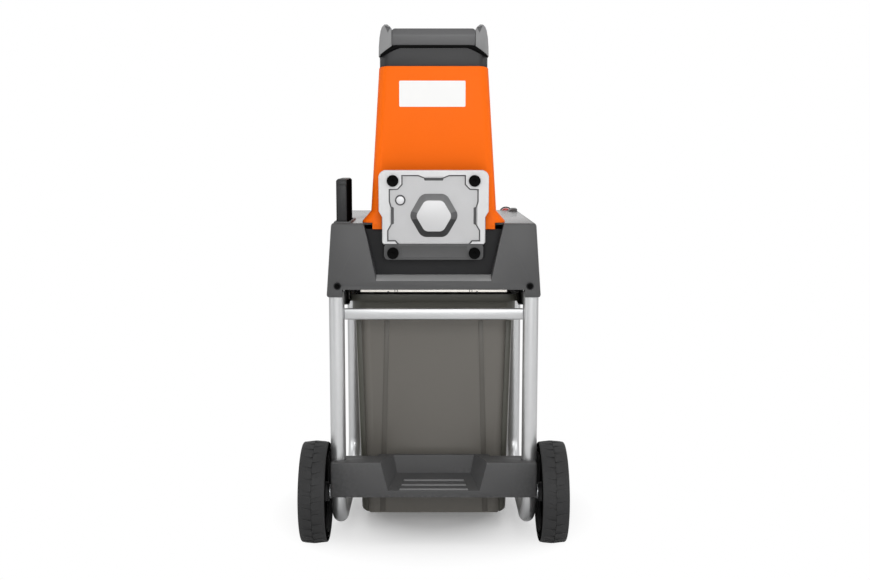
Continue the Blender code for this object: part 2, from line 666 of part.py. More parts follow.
def bin_rail(side):
    """Rail along one side that the bin's collar slides in."""
    word = side_name(side)
    outer, inner = RAIL_OUTER, RAIL_INNER
    top_inner = LEDGE_HALF + 0.002
    outline = [(outer, RAIL_BASE), (outer, PLATE_TOP), (top_inner, PLATE_TOP),
               (top_inner, PLATE_TOP - RAIL_WEB), (outer - RAIL_WEB, PLATE_TOP - RAIL_WEB),
               (outer - RAIL_WEB, RAIL_BASE + RAIL_WEB), (inner, RAIL_BASE + RAIL_WEB),
               (inner, RAIL_BASE)]
    outline = [(side * x, z) for x, z in outline]
    rear = AXLE_Y + TUBE_RADIUS + 0.004
    depth = FRONT_LEG_Y - TUBE_RADIUS - 0.004 - rear
    rail = upright_plate(word + "_bin_rail", "black", outline, rear, depth)
    if side < 0:
        slot = box("rail_slot", None,
                   (-outer + RAIL_WEB + GAP, TONGUE_Y - TONGUE_WIDTH / 2 - 0.001, UNDER_SHROUD),
                   (-top_inner + 0.001, TONGUE_Y + TONGUE_WIDTH / 2 + 0.001,
                    PLATE_TOP + 0.01))
        boolean(rail, slot)


def collecting_bin():
    """Open tapered box with a collar that hangs in the rails."""
    rear, front = BIN_REAR, BIN_FRONT
    inset = BIN_BODY_HALF - BIN_FOOT_HALF
    lip = COLLAR_LIP_HALF - COLLAR_BODY_HALF
    body = COLLAR_BODY_HALF - BIN_BODY_HALF
    sections = [
        (BIN_FOOT_HALF, rear + inset, front - inset, BIN_BASE, 0),
        (BIN_BODY_HALF, rear, front, BIN_SHOULDER, 0),
        (COLLAR_BODY_HALF, rear - body, front + body, BIN_SHOULDER + 0.010, 0),
        (COLLAR_BODY_HALF, rear - body, front + body, BIN_LIP_BASE, 0),
        (COLLAR_LIP_HALF, rear - body - lip, front + body + lip, BIN_LIP_BASE + 0.0002, 0),
        (COLLAR_LIP_HALF, rear - body - lip, front + body + lip, BIN_TOP, 0),
    ]
    tub = skin("collecting_bin", "smoke", sections, 0.030, BIN_WALL, base=True, segments=4)
    notch = box("bin_notch", None,
                (TONGUE_X - 0.009, TONGUE_Y - TONGUE_WIDTH / 2 - 0.002, BIN_LIP_BASE - 0.01),
                (TONGUE_X + 0.0035, TONGUE_Y + TONGUE_WIDTH / 2 + 0.002, BIN_TOP + 0.01))
    boolean(tub, notch)


def bin_grip():
    """Handle across the front of the bin's collar."""
    rear = BIN_FRONT + (COLLAR_LIP_HALF - BIN_BODY_HALF) + GAP
    front = AXLE_Y + FRONT_REACH
    grip = box("bin_grip", "black", (-0.075, rear, BIN_TOP - 0.040), (0.075, front, BIN_TOP), 0.004)
    hollow = box("grip_hollow", None, (-0.066, rear - 0.01, BIN_TOP - 0.05),
                 (0.066, front - 0.006, BIN_TOP - 0.005))
    boolean(grip, hollow)


def lock_lever():
    """Lever on the left shoulder; pushed down, its tongue holds the bin."""
    half = LEVER_WIDTH / 2
    lever = box("bin_lock_lever", "dark_grey", (LEVER_X - half, LEVER_REAR, LEVER_BASE),
                (LEVER_X + half, LEVER_REAR + LEVER_LENGTH, SHROUD_TOP + LEVER_HEIGHT), 0.004)
    tongue = box("lever_tongue", None,
                 (TONGUE_X - TONGUE_THICKNESS / 2, TONGUE_Y - TONGUE_WIDTH / 2, BIN_TOP + 0.0035),
                 (TONGUE_X + TONGUE_THICKNESS / 2, TONGUE_Y + TONGUE_WIDTH / 2,
                  LEVER_BASE + 0.01))
    boolean(lever, tongue, "UNION")


def control_panel():
    """Switch box on the front of the right shoulder, with its controls."""
    x = SWITCH_X
    case = box("switch_box", "black", (x - SWITCH_HALF, SWITCH_REAR, SWITCH_BASE),
               (x + SWITCH_HALF, SWITCH_FRONT, SWITCH_TOP), 0.004)
    top = SWITCH_TOP - 0.019
    spots = {"start_button": (x - 0.017, top, 0.0115), "stop_button": (x + 0.020, top + 0.010, 0.0135),
             "direction_switch": (x, top - 0.036, 0.014), "power_inlet": (x, top - 0.074, 0.018)}
    for name, (spot_x, z, radius) in spots.items():
        well = cylinder(name + "_well", None, radius + 2 * GAP, (spot_x, SWITCH_FRONT - 0.014, z),
                        (spot_x, SWITCH_FRONT + 0.01, z), 18)
        boolean(case, well)
    seat = SWITCH_FRONT - 0.014 + GAP + BUTTON_TRAVEL
    for name, finish, length in (("start_button", "green", 0.015), ("stop_button", "red", 0.018)):
        spot_x, z, radius = spots[name]
        button = [(0, length), (radius - 0.002, length), (radius, length - 0.002), (radius, 0),
                  (0, 0)]
        turned(name, finish, button, (spot_x, seat, z), (0, 1, 0), 18)
    spot_x, z, radius = spots["direction_switch"]
    knob = [(0, 0.020), (radius - 0.004, 0.020), (radius, 0.014), (radius, 0), (0, 0)]
    turned("direction_switch", "mid_grey", knob, (spot_x, SWITCH_FRONT - 0.014 + GAP, z),
           (0, 1, 0), 18)
    spot_x, z, radius = spots["power_inlet"]
    collar = [(0, 0.003), (radius - 0.003, 0.003), (radius - 0.003, 0.020), (radius, 0.020),
              (radius, 0), (0, 0)]
    inlet = turned("power_inlet", "mid_grey", collar, (spot_x, SWITCH_FRONT - 0.014 + GAP, z),
                   (0, 1, 0), 18)
    for number, (dx, dz) in enumerate(((-0.006, -0.003), (0.006, -0.003), (0, 0.006))):
        pin = cylinder(f"inlet_pin_{number}", None, 0.002,
                       (spot_x + dx, SWITCH_FRONT - 0.0125, z + dz),
                       (spot_x + dx, SWITCH_FRONT + 0.002, z + dz), 8)
        boolean(inlet, pin, "UNION")


def vent_grille():
    """Slotted panel over the fan, in the shroud's front wall."""
    half = VENT_HALF - GAP
    grille = box("vent_grille", "black", (-half, SHROUD_FRONT - SHROUD_WALL, VENT_BASE + GAP),
                 (half, SHROUD_FRONT + 0.002, VENT_TOP - GAP))
    flange = box("grille_flange", None, (-half - 0.005, SHROUD_FRONT + GAP, VENT_BASE - 0.005),
                 (half + 0.005, SHROUD_FRONT + 0.003, VENT_TOP + 0.005))
    boolean(grille, flange, "UNION")
    count = 7
    pitch = (VENT_TOP - VENT_BASE) / (count + 1)
    for number in range(count):
        z = VENT_BASE + pitch * (number + 1)
        slot = box(f"grille_slot_{number}", None, (-half + 0.012, SHROUD_FRONT - 0.02, z - 0.0025),
                   (half - 0.012, SHROUD_FRONT + 0.02, z + 0.0025))
        boolean(grille, slot)


# ---------------------------------------------------------------- hopper
def hopper():
    """Funnel skirt: a foot flange, a flare and walls that narrow to the mouth."""
    rear, front = HOPPER_REAR, HOPPER_REAR + HOPPER_DEPTH
    low = SHROUD_TOP + GAP
    sections = [
        (FLANGE_HALF, rear - 0.006, front + 0.004, low, 0),
        (FLANGE_HALF, rear - 0.006, front + 0.004, low + 0.003, 0),
        (HOPPER_LOW_HALF, rear, front - 0.020, low + 0.022, 0),
        (HOPPER_TOP_HALF, rear, front, HOPPER_TOP, MOUTH_SLOPE),
    ]
    shell = skin("hopper", "orange", sections, 0.018, HOPPER_WALL, segments=4)
    boolean(shell, box("hopper_apron", None, (-FLANGE_HALF + 0.020, rear - 0.006, FLANGE_Z),
                       (FLANGE_HALF - 0.020, rear - 0.003, low + 0.003)), "UNION")
    boolean(shell, box("hopper_chamber_hole", None,
                       (-CHAMBER_HALF - 0.001, rear - 0.02, FLANGE_Z - 0.02),
                       (CHAMBER_HALF + 0.001, rear + 0.02, CHAMBER_TOP + 0.001)))


def hopper_collar():
    """Dark band round the mouth."""
    rear, front = HOPPER_REAR, HOPPER_REAR + HOPPER_DEPTH
    half = HOPPER_TOP_HALF
    sections = [
        (half - 0.0015, rear, front, COLLAR_BASE, MOUTH_SLOPE),
        (half - 0.0015, rear, front, RIM_BASE - GAP, MOUTH_SLOPE),
    ]
    skin("hopper_collar", "dark_grey", sections, 0.018, 0.006, segments=4)


def hopper_rim():
    """Rim on the collar with a raised horn at each rear corner."""
    rear, front = HOPPER_REAR, HOPPER_REAR + HOPPER_DEPTH
    half = HOPPER_TOP_HALF - 0.0015
    sections = [
        (half, rear, front, RIM_BASE, MOUTH_SLOPE),
        (half, rear, front, RIM_BASE + 0.006, MOUTH_SLOPE),
        (half - 0.003, rear + 0.002, front - 0.002, RIM_BASE + RIM_HEIGHT, MOUTH_SLOPE),
    ]
    rim = skin("hopper_rim", "mid_grey", sections, 0.018, 0.006, segments=4)
    for side in (-1, 1):
        edge = sorted((side * (GRIP_HALF + GAP), side * (half - 0.0015)))
        horn = box(side_name(side) + "_horn", None, (edge[0], rear - 0.001, RIM_BASE + 0.003),
                   (edge[1], rear + 0.036, HORN_TOP), 0.005)
        boolean(rim, horn, "UNION")
    slot = box("rim_finger_gap", None, (-GRIP_HALF, rear - 0.02, RIM_BASE + 0.0065),
               (GRIP_HALF, rear + 0.036, HORN_TOP))
    boolean(rim, slot)
    for side in (-1, 1):
        ends = sorted((side * (GRIP_HALF - 0.01), side * (GRIP_HALF + 0.006)))
        tenon = box(side_name(side) + "_tenon_hole", None, (ends[0], rear + 0.009, GRIP_TOP - 0.016),
                    (ends[1], rear + 0.023, GRIP_TOP - 0.006))
        boolean(rim, tenon)


def grip_bar():
    """Pull bar between the horns, with a tenon at each end."""
    rear = HOPPER_REAR
    bar = box("grip_bar", "mid_grey", (-GRIP_HALF + GAP, rear - 0.001, GRIP_TOP - GRIP_HEIGHT + 0.006),
              (GRIP_HALF - GAP, rear + 0.032, GRIP_TOP), 0.005)
    tenon = box("grip_tenon", None, (-GRIP_HALF - 0.0055, rear + 0.0095, GRIP_TOP - 0.0155),
                (GRIP_HALF + 0.0055, rear + 0.0225, GRIP_TOP - 0.0065))
    boolean(bar, tenon, "UNION")


def feed_throat():
    """Inner funnel from the hopper's walls down to the chamber's mouth."""
    rear = HOPPER_REAR + HOPPER_WALL + 0.002
    low = CHAMBER_TOP + GAP
    sections = [
        (0.048, rear, CAVITY_FRONT - 0.006, low, 0),
        (0.052, rear, CAVITY_FRONT + 0.004, low + 0.018, 0),
        (HOPPER_LOW_HALF - 0.018, rear, HOPPER_REAR + HOPPER_DEPTH - 0.027, low + 0.100, 0),
    ]
    skin("feed_throat", "black", sections, 0.012, 0.003, segments=3)


# ---------------------------------------------------------------- cutting chamber
def mirrored(half):
    """Close a right-hand half outline, listed from the top, with its mirror image."""
    return half + [(-x, z) for x, z in reversed(half)]


def chamber_housing():
    """Cast block round the cutter with its mouth, outlet, plate pocket and bolt holes."""
    block_ = box("chamber_housing", "aluminium", (-CHAMBER_HALF, CHAMBER_REAR, CHAMBER_BASE),
                 (CHAMBER_HALF, CHAMBER_FRONT, CHAMBER_TOP))
    boolean(block_, cylinder("cavity", None, CAVITY_RADIUS, (0, CHAMBER_REAR - 0.01, DRUM_Z),
                             (0, CAVITY_FRONT, DRUM_Z), 28))
    boolean(block_, box("chamber_mouth", None, (-0.044, AXLE_Y + 0.009, DRUM_Z),
                        (0.044, CAVITY_FRONT - 0.010, CHAMBER_TOP + 0.01)))
    boolean(block_, box("chamber_outlet", None, (-CHUTE_HALF + 0.004, CHUTE_REAR + 0.004,
                                           CHAMBER_BASE - 0.065),
                        (CHUTE_HALF - 0.004, CAVITY_FRONT - 0.002, DRUM_Z)))
    boolean(block_, box("plate_pocket", None,
                        (-0.0815, CHAMBER_REAR - 0.01, DRUM_Z - 0.048),
                        (-0.030, CAVITY_FRONT - 0.001, DRUM_Z + 0.0435)))
    boolean(block_, cylinder("bearing_seat", None, BEARING_RADIUS + GAP,
                             (0, CAVITY_FRONT - 0.01, DRUM_Z), (0, CHAMBER_FRONT + 0.01, DRUM_Z),
                             20))
    boolean(block_, cylinder("pin_hole", None, PIN_RADIUS + GAP, (PIN_X, CAVITY_FRONT - 0.01, PIN_Z),
                             (PIN_X, CAVITY_FRONT + 0.007, PIN_Z), 16))
    boolean(block_, cylinder("adjuster_hole", None, ADJUSTER_RADIUS + GAP,
                             (-CHAMBER_HALF - 0.01, ADJUSTER_Y, ADJUSTER_Z),
                             (-0.07, ADJUSTER_Y, ADJUSTER_Z), 16))
    for name, x, z in bolt_spots():
        boolean(block_, cylinder(name + "_hole", None, BOLT_RADIUS + GAP,
                                 (x, CHAMBER_REAR - 0.01, z), (x, CHAMBER_REAR + 0.024, z), 12))


ADJUSTER_RADIUS = 0.005
ADJUSTER_Y = AXLE_Y + 0.045
ADJUSTER_Z = DRUM_Z - 0.030
PLATE_FACE = -(DRUM_RADIUS + 0.0025)
PLATE_BACK = PLATE_FACE - 0.0195


def bolt_spots():
    """Names and places of the four cover bolts."""
    rows = (("top", BOLT_TOP_Z), ("low", BOLT_LOW_Z))
    return [(f"{side_name(side)}_{row}_cover_bolt", side * BOLT_HALF_SPACING, z)
            for row, z in rows for side in (-1, 1)]


def cover_bolt(name, x, z):
    """Socket-head bolt through the cover into the housing."""
    shank = COVER_THICKNESS + 0.020
    head = 0.009
    base = COVER_FRONT + 0.020
    top = shank + GAP + head
    profile = [(0, top - 0.005), (0.0045, top - 0.005), (0.0045, top), (BOLT_HEAD_RADIUS - 0.001, top),
               (BOLT_HEAD_RADIUS, top - 0.001), (BOLT_HEAD_RADIUS, shank + GAP),
               (BOLT_RADIUS, shank + GAP), (BOLT_RADIUS, 0), (0, 0)]
    turned(name, "black", profile, (x, base, z), (0, -1, 0), 12)


def chamber_cover():
    """Cast end cover: outline with a waist, sunk panel, six-sided bearing boss."""
    waist = COVER_WAIST_HALF
    lip = COVER_BASE + 0.030
    outline = mirrored([
        (COVER_HALF - 0.010, COVER_TOP), (COVER_HALF, COVER_TOP - 0.010),
        (COVER_HALF, DRUM_Z + 0.006), (waist, DRUM_Z - 0.004), (waist, lip),
        (waist - 0.005, lip - 0.004), (waist - 0.005, COVER_BASE + 0.004),
        (waist - 0.009, COVER_BASE),
    ])
    cover = upright_plate("chamber_cover", "aluminium", outline, COVER_REAR, COVER_THICKNESS)
    panel = mirrored([
        (0.028, COVER_TOP - 0.0194), (0.033, COVER_TOP - 0.010),
        (BOLT_HALF_SPACING - 0.0155, COVER_TOP - 0.010),
        (BOLT_HALF_SPACING + 0.0105, BOLT_TOP_Z - 0.0176),
        (BOLT_HALF_SPACING + 0.0105, DRUM_Z + 0.0186), (waist - 0.0212, DRUM_Z + 0.0126),
        (waist - 0.0212, DRUM_Z - 0.0198), (waist - 0.0104, DRUM_Z - 0.0308),
        (waist - 0.0104, BOLT_LOW_Z + 0.0232), (BOLT_HALF_SPACING - 0.015, lip + 0.002),
    ])
    boolean(cover, upright_plate("cover_panel", None, panel, COVER_REAR - 0.01, 0.0125))
    bm = bmesh.new()
    bmesh.ops.create_cone(bm, cap_ends=True, segments=6, radius1=HEX_HALF_WIDTH,
                          radius2=HEX_HALF_WIDTH * HEX_TAPER, depth=HEX_HEIGHT + 0.004)
    bmesh.ops.rotate(bm, verts=bm.verts, cent=(0, 0, 0), matrix=Matrix.Rotation(math.pi / 2, 3, "Z"))
    tall = HEX_HALF_HEIGHT / (HEX_HALF_WIDTH * math.cos(math.radians(30)))
    bmesh.ops.scale(bm, verts=bm.verts, vec=(1, tall, 1))
    boss = add("hex_boss", mesh_from(bm, "hex_boss"), None)
    boss.rotation_euler = (math.pi / 2, 0, 0)
    boss.location = (0, COVER_REAR - HEX_HEIGHT / 2 + 0.002, DRUM_Z)
    boolean(cover, boss, "UNION")
    boolean(cover, cylinder("cover_bearing_seat", None, BEARING_RADIUS + GAP,
                            (0, COVER_FRONT + 0.01, DRUM_Z), (0, COVER_REAR - 0.0085, DRUM_Z), 20))
    for name, x, z in bolt_spots():
        boolean(cover, cylinder(name + "_clearance", None, BOLT_RADIUS + GAP,
                                (x, COVER_REAR - 0.01, z), (x, COVER_FRONT + 0.01, z), 12))
        pad = cylinder(name + "_pad", None, BOLT_HEAD_RADIUS + 0.003, (x, COVER_REAR - 0.001, z),
                       (x, COVER_REAR - 0.02, z), 14)
        boolean(cover, pad)
    boolean(cover, cylinder("cover_pin_hole", None, PIN_RADIUS + GAP, (PIN_X, COVER_REAR - 0.01, PIN_Z),
                            (PIN_X, COVER_FRONT + 0.01, PIN_Z), 16))


def pivot_pin():
    """Pin that carries the counter plate, its round cap outside the cover."""
    base = CAVITY_FRONT + 0.006
    seat = base - (COVER_REAR + 0.0025) + GAP
    profile = [(0, seat + 0.0065), (0.006, seat + 0.006), (0.0075, seat + 0.0045),
               (0.0075, seat + 0.002), (0.010, seat + 0.0015), (0.010, seat), (PIN_RADIUS, seat),
               (PIN_RADIUS, 0), (0, 0)]
    turned("pivot_pin", "steel", profile, (PIN_X, base, PIN_Z), (0, -1, 0), 14)


def counter_plate():
    """Pressure plate beside the cutter, hung on the pivot pin."""
    outline = [(PLATE_FACE + 0.004, DRUM_Z + 0.034), (PLATE_FACE + 0.004, DRUM_Z + 0.020),
               (PLATE_FACE, DRUM_Z + 0.006), (PLATE_FACE, DRUM_Z - 0.045),
               (PLATE_BACK, DRUM_Z - 0.045), (PLATE_BACK - 0.002, DRUM_Z + 0.034),
               (PIN_X - 0.006, DRUM_Z + 0.0405), (PIN_X + 0.003, DRUM_Z + 0.0405)]
    depth = CAVITY_FRONT - CHAMBER_REAR - 0.004
    plate = upright_plate("counter_plate", "steel", outline, CHAMBER_REAR + 0.002, depth)
    boolean(plate, cylinder("plate_eye", None, PIN_RADIUS + GAP, (PIN_X, CHAMBER_REAR - 0.01, PIN_Z),
                            (PIN_X, CAVITY_FRONT + 0.01, PIN_Z), 16))


def adjusting_screw():
    """Screw in the housing's left wall that bears on the counter plate."""
    tip = -(PLATE_BACK - 0.0012) + GAP
    reach = CHAMBER_HALF - tip
    profile = [(0, reach + 0.010), (0.0035, reach + 0.010), (0.0085, reach + 0.010),
               (0.009, reach + 0.009), (0.009, reach + GAP), (ADJUSTER_RADIUS, reach + GAP),
               (ADJUSTER_RADIUS, 0), (0, 0)]
    turned("adjusting_screw", "steel", profile, (-tip, ADJUSTER_Y, ADJUSTER_Z), (-1, 0, 0), 12)


def discharge_chute():
    """Sheet duct from the housing's outlet down to the chassis plate."""
    sections = [(CHUTE_HALF, CHUTE_REAR, CHUTE_FRONT, PLATE_TOP + GAP, 0),
                (CHUTE_HALF, CHUTE_REAR, CHUTE_FRONT, CHAMBER_BASE - GAP, 0)]
    skin("discharge_chute", "black", sections, 0.004, 0.003, segments=1)


# ---------------------------------------------------------------- cutter and drive
def cutter_drum():
    """Toothed roller on the cutter shaft."""
    outline = []
    for tooth in range(DRUM_TEETH):
        start = 360 / DRUM_TEETH * tooth
        for turn, radius in ((0, DRUM_RADIUS - 0.012), (3, DRUM_RADIUS), (10, DRUM_RADIUS),
                             (28, DRUM_RADIUS - 0.009)):
            angle = math.radians(start + turn)
            outline.append((radius * math.cos(angle), radius * math.sin(angle)))
    turned_about((0, DRUM_Z), "cutter_drum", "steel", outline, DRUM_REAR, DRUM_LENGTH, SHAFT_RADIUS)


def turned_about(centre, name, finish, outline, rear, depth, bore):
    """A toothed disc about an axis along Y, with a bore for its shaft."""
    x, z = centre
    disc = upright_plate(name, finish, [(x + a, z + b) for a, b in outline], rear, depth)
    boolean(disc, cylinder(name + "_bore", None, bore + GAP, (x, rear - 0.01, z),
                           (x, rear + depth + 0.01, z), 24))
    return disc


def gear_outline(teeth, first):
    """Outline of a spur gear with flat-sided teeth, one tooth centred at the first angle."""
    pitch_angle = 2 * math.pi / teeth
    pitch_radius = GEAR_MODULE * teeth / 2
    shape = ((-0.34, -1.05), (-0.11, 0.8), (0.11, 0.8), (0.34, -1.05))
    points = []
    for tooth in range(teeth):
        for share, height in shape:
            angle = math.radians(first) + pitch_angle * (tooth + share)
            radius = pitch_radius + height * GEAR_MODULE
            points.append((radius * math.cos(angle), radius * math.sin(angle)))
    return points


def cutter_shaft():
    """Shaft from the cover's bearing to the drive gear."""
    cylinder("cutter_shaft", "steel", SHAFT_RADIUS, (0, COVER_REAR - 0.0075, DRUM_Z),
             (0, GEAR_REAR + GEAR_WIDTH + 0.006, DRUM_Z), 24)


def bearings():
    """Bearings of the cutter shaft and of the motor shaft."""
    bore = SHAFT_RADIUS + GAP
    ring("rear_cutter_bearing", "steel", BEARING_RADIUS, bore, (0, COVER_REAR - 0.008, DRUM_Z),
         0.015, (0, 1, 0))
    ring("front_cutter_bearing", "steel", BEARING_RADIUS, bore,
         (0, CAVITY_FRONT + 0.0005, DRUM_Z), CHAMBER_WALL - 0.001, (0, 1, 0))
    bore = MOTOR_SHAFT_RADIUS + GAP
    ring("rear_motor_bearing", "steel", MOTOR_BEARING_RADIUS, bore,
         (0, GEARBOX_FRONT - GEARBOX_WALL, MOTOR_Z), GEARBOX_WALL, (0, 1, 0), 24)
    ring("front_motor_bearing", "steel", MOTOR_BEARING_RADIUS, bore,
         (0, MOTOR_FRONT + GAP, MOTOR_Z), END_SHIELD_THICKNESS, (0, 1, 0), 24)


def gearbox_outline(wall):
    """Pear-shaped outline round the two gears, less a wall."""
    large = GEARBOX_RADIUS + GEARBOX_WALL - wall
    small = 0.031 - wall
    lean = math.degrees(math.asin((large - small) / MOTOR_DROP))
    return (arc((0, DRUM_Z), large, -lean, 180 + lean, 14)
            + arc((0, MOTOR_Z), small, 180 + lean, 360 - lean, 6))


def gear_housing():
    """Cast gear case, open to the chamber's front wall."""
    depth = GEARBOX_FRONT - GEARBOX_REAR
    case = upright_plate("gear_housing", "aluminium", gearbox_outline(0), GEARBOX_REAR, depth)
    boolean(case, upright_plate("gear_room", None, gearbox_outline(GEARBOX_WALL - GAP),
                                GEARBOX_REAR - 0.01, depth + 0.01 - GEARBOX_WALL))
    boolean(case, cylinder("gearbox_seat", None, MOTOR_BEARING_RADIUS + GAP,
                           (0, GEARBOX_FRONT - 0.02, MOTOR_Z), (0, GEARBOX_FRONT + 0.01, MOTOR_Z),
                           20))


def gears():
    """Drive gear on the cutter shaft, and the motor shaft with its cut pinion."""
    turned_about((0, DRUM_Z), "drive_gear", "steel", gear_outline(GEAR_TEETH, -90), GEAR_REAR,
                 GEAR_WIDTH, SHAFT_RADIUS)
    shaft = cylinder("motor_shaft", "steel", MOTOR_SHAFT_RADIUS, (0, GEAR_REAR - 0.004, MOTOR_Z),
                     (0, FAN_REAR + FAN_DEPTH, MOTOR_Z), 20)
    outline = gear_outline(PINION_TEETH, 90 + 180 / PINION_TEETH)
    pinion = upright_plate("pinion_teeth", None, [(x, MOTOR_Z + z) for x, z in outline],
                           GEAR_REAR + 0.001, GEAR_WIDTH - 0.002)
    boolean(shaft, pinion, "UNION")


def motor():
    """Housing, stator, rotor, end shield and fan about the motor shaft."""
    origin = (0, MOTOR_REAR, MOTOR_Z)
    axis = (0, 1, 0)
    inner = MOTOR_RADIUS - MOTOR_WALL
    neck = MOTOR_SHAFT_RADIUS + 0.002
    shell = [(MOTOR_RADIUS, MOTOR_LENGTH), (MOTOR_RADIUS, 0), (neck, 0), (neck, MOTOR_WALL),
             (inner, MOTOR_WALL), (inner, MOTOR_LENGTH)]
    turned("motor_housing", "aluminium", shell, origin, axis, 24)
    air = MOTOR_RADIUS * 0.57
    ring("stator", "copper", inner - GAP, air, (0, MOTOR_REAR + 0.014, MOTOR_Z),
         MOTOR_LENGTH - 0.028, axis, 24)
    ring("rotor", "steel", air - 0.0006, MOTOR_SHAFT_RADIUS + GAP, (0, MOTOR_REAR + 0.018, MOTOR_Z),
         MOTOR_LENGTH - 0.036, axis, 20)
    ring("motor_end_shield", "aluminium", MOTOR_RADIUS, MOTOR_BEARING_RADIUS + GAP,
         (0, MOTOR_FRONT + GAP, MOTOR_Z), END_SHIELD_THICKNESS, axis, 24)
    hub = [(0.016, FAN_DEPTH - 0.001), (0.016, 0.004), (MOTOR_RADIUS - 0.006, 0.003),
           (MOTOR_RADIUS - 0.006, 0.001), (MOTOR_SHAFT_RADIUS + GAP, 0.001),
           (MOTOR_SHAFT_RADIUS + GAP, FAN_DEPTH - 0.001)]
    fan = turned("fan", "black", hub, (0, FAN_REAR, MOTOR_Z), axis, 20)
    reach = MOTOR_RADIUS - 0.020
    for number in range(8):
        angle = math.radians(45 * number)
        blade = box(f"fan_blade_{number}", None, (-reach / 2, -FAN_DEPTH / 2 + 0.002, -0.001),
                    (reach / 2, FAN_DEPTH / 2 - 0.003, 0.001))
        middle = 0.012 + reach / 2
        blade.location = (middle * math.cos(angle), FAN_REAR + FAN_DEPTH / 2,
                          MOTOR_Z + middle * math.sin(angle))
        blade.rotation_euler = (0, -angle, 0)
        boolean(fan, blade, "UNION")


# ---------------------------------------------------------------- the whole machine
def build():
    """Make every piece of the machine."""
    start_scene()
    for side in (-1, 1):
        frame_tube(side)
        front_foot(side)
        wheel(side)
        shroud_screw(side)
        bin_rail(side)
    axle()
    upper_bar()
    foot_step()
    shroud()
    chassis_plate()
    collecting_bin()
    bin_grip()
    lock_lever()
    control_panel()
    vent_grille()
    hopper()
    hopper_collar()
    hopper_rim()
    grip_bar()
    feed_throat()
    chamber_housing()
    chamber_cover()
    for name, x, z in bolt_spots():
        cover_bolt(name, x, z)
    pivot_pin()
    counter_plate()
    adjusting_screw()
    discharge_chute()
    cutter_drum()
    cutter_shaft()
    bearings()
    gear_housing()
    gears()
    motor()


if __name__ == "__main__":
    build()
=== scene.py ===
"""Looks of a garden roller chipper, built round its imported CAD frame.

Each sub-assembly is a class that models its shown pieces in the frame's own coordinates,
in metres, and dresses them and the CAD nodes that stay in view.
"""
import logging
import math
from dataclasses import dataclass
from enum import Enum
from typing import Any, Callable, Iterable, Sequence

import bmesh
import bpy
from mathutils import Matrix, Vector


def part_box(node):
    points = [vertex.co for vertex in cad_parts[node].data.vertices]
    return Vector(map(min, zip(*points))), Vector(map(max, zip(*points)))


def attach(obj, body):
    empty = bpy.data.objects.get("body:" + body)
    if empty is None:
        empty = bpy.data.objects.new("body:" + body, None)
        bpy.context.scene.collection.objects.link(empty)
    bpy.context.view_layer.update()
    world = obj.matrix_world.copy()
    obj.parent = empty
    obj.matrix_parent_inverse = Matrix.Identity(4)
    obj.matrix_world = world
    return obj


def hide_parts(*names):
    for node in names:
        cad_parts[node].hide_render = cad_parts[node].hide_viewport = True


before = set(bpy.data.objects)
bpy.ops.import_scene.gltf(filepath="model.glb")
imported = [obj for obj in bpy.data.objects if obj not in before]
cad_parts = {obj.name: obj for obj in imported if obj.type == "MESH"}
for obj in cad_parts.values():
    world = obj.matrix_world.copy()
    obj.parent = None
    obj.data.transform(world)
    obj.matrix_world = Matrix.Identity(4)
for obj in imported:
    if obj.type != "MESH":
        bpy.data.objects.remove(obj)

LOG = logging.getLogger("roller_chipper")
Point = tuple[float, float, float]
Outline = Sequence[tuple[float, float]]
Pick = Callable[[Vector], bool]
FacePick = Callable[[Vector, Vector], bool]
Trims = Sequence[tuple["Finish", FacePick]]
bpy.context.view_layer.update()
ALONG_X: Point = (1, 0, 0)
ALONG_Y: Point = (0, 1, 0)
REARWARD: Point = (0, -1, 0)
UPWARD: Point = (0, 0, 1)
MERGE_REACH = 0.00001
FLAT_ANGLE = 1.5
COAT_ROUGHNESS = 0.15
LEAST_ROUGHNESS = 0.02
# lighter convex edges, partly worn and partly painted highlight
SCUFF_AND_HIGHLIGHT_EDGE = (0.53, 0.60)
SCUFF_AND_HIGHLIGHT_BREAKS = (0.42, 0.62)
SCUFF_AND_HIGHLIGHT_SCALE = 160.0
DUST_SLOPE = (0.2, 1.0)
DUST_PATCH = (0.35, 0.75)
DUST_SCALE = 34.0
DUST_COLOUR: Point = (0.30, 0.27, 0.22)
SHOULDER_TOP = 0.631


class Side(Enum):
    """A side of the machine seen from its wheels, with its sign along X."""

    LEFT = -1
    RIGHT = 1

    @property
    def word(self) -> str:
        """The side's name as the CAD nodes spell it."""
        return self.name.lower()


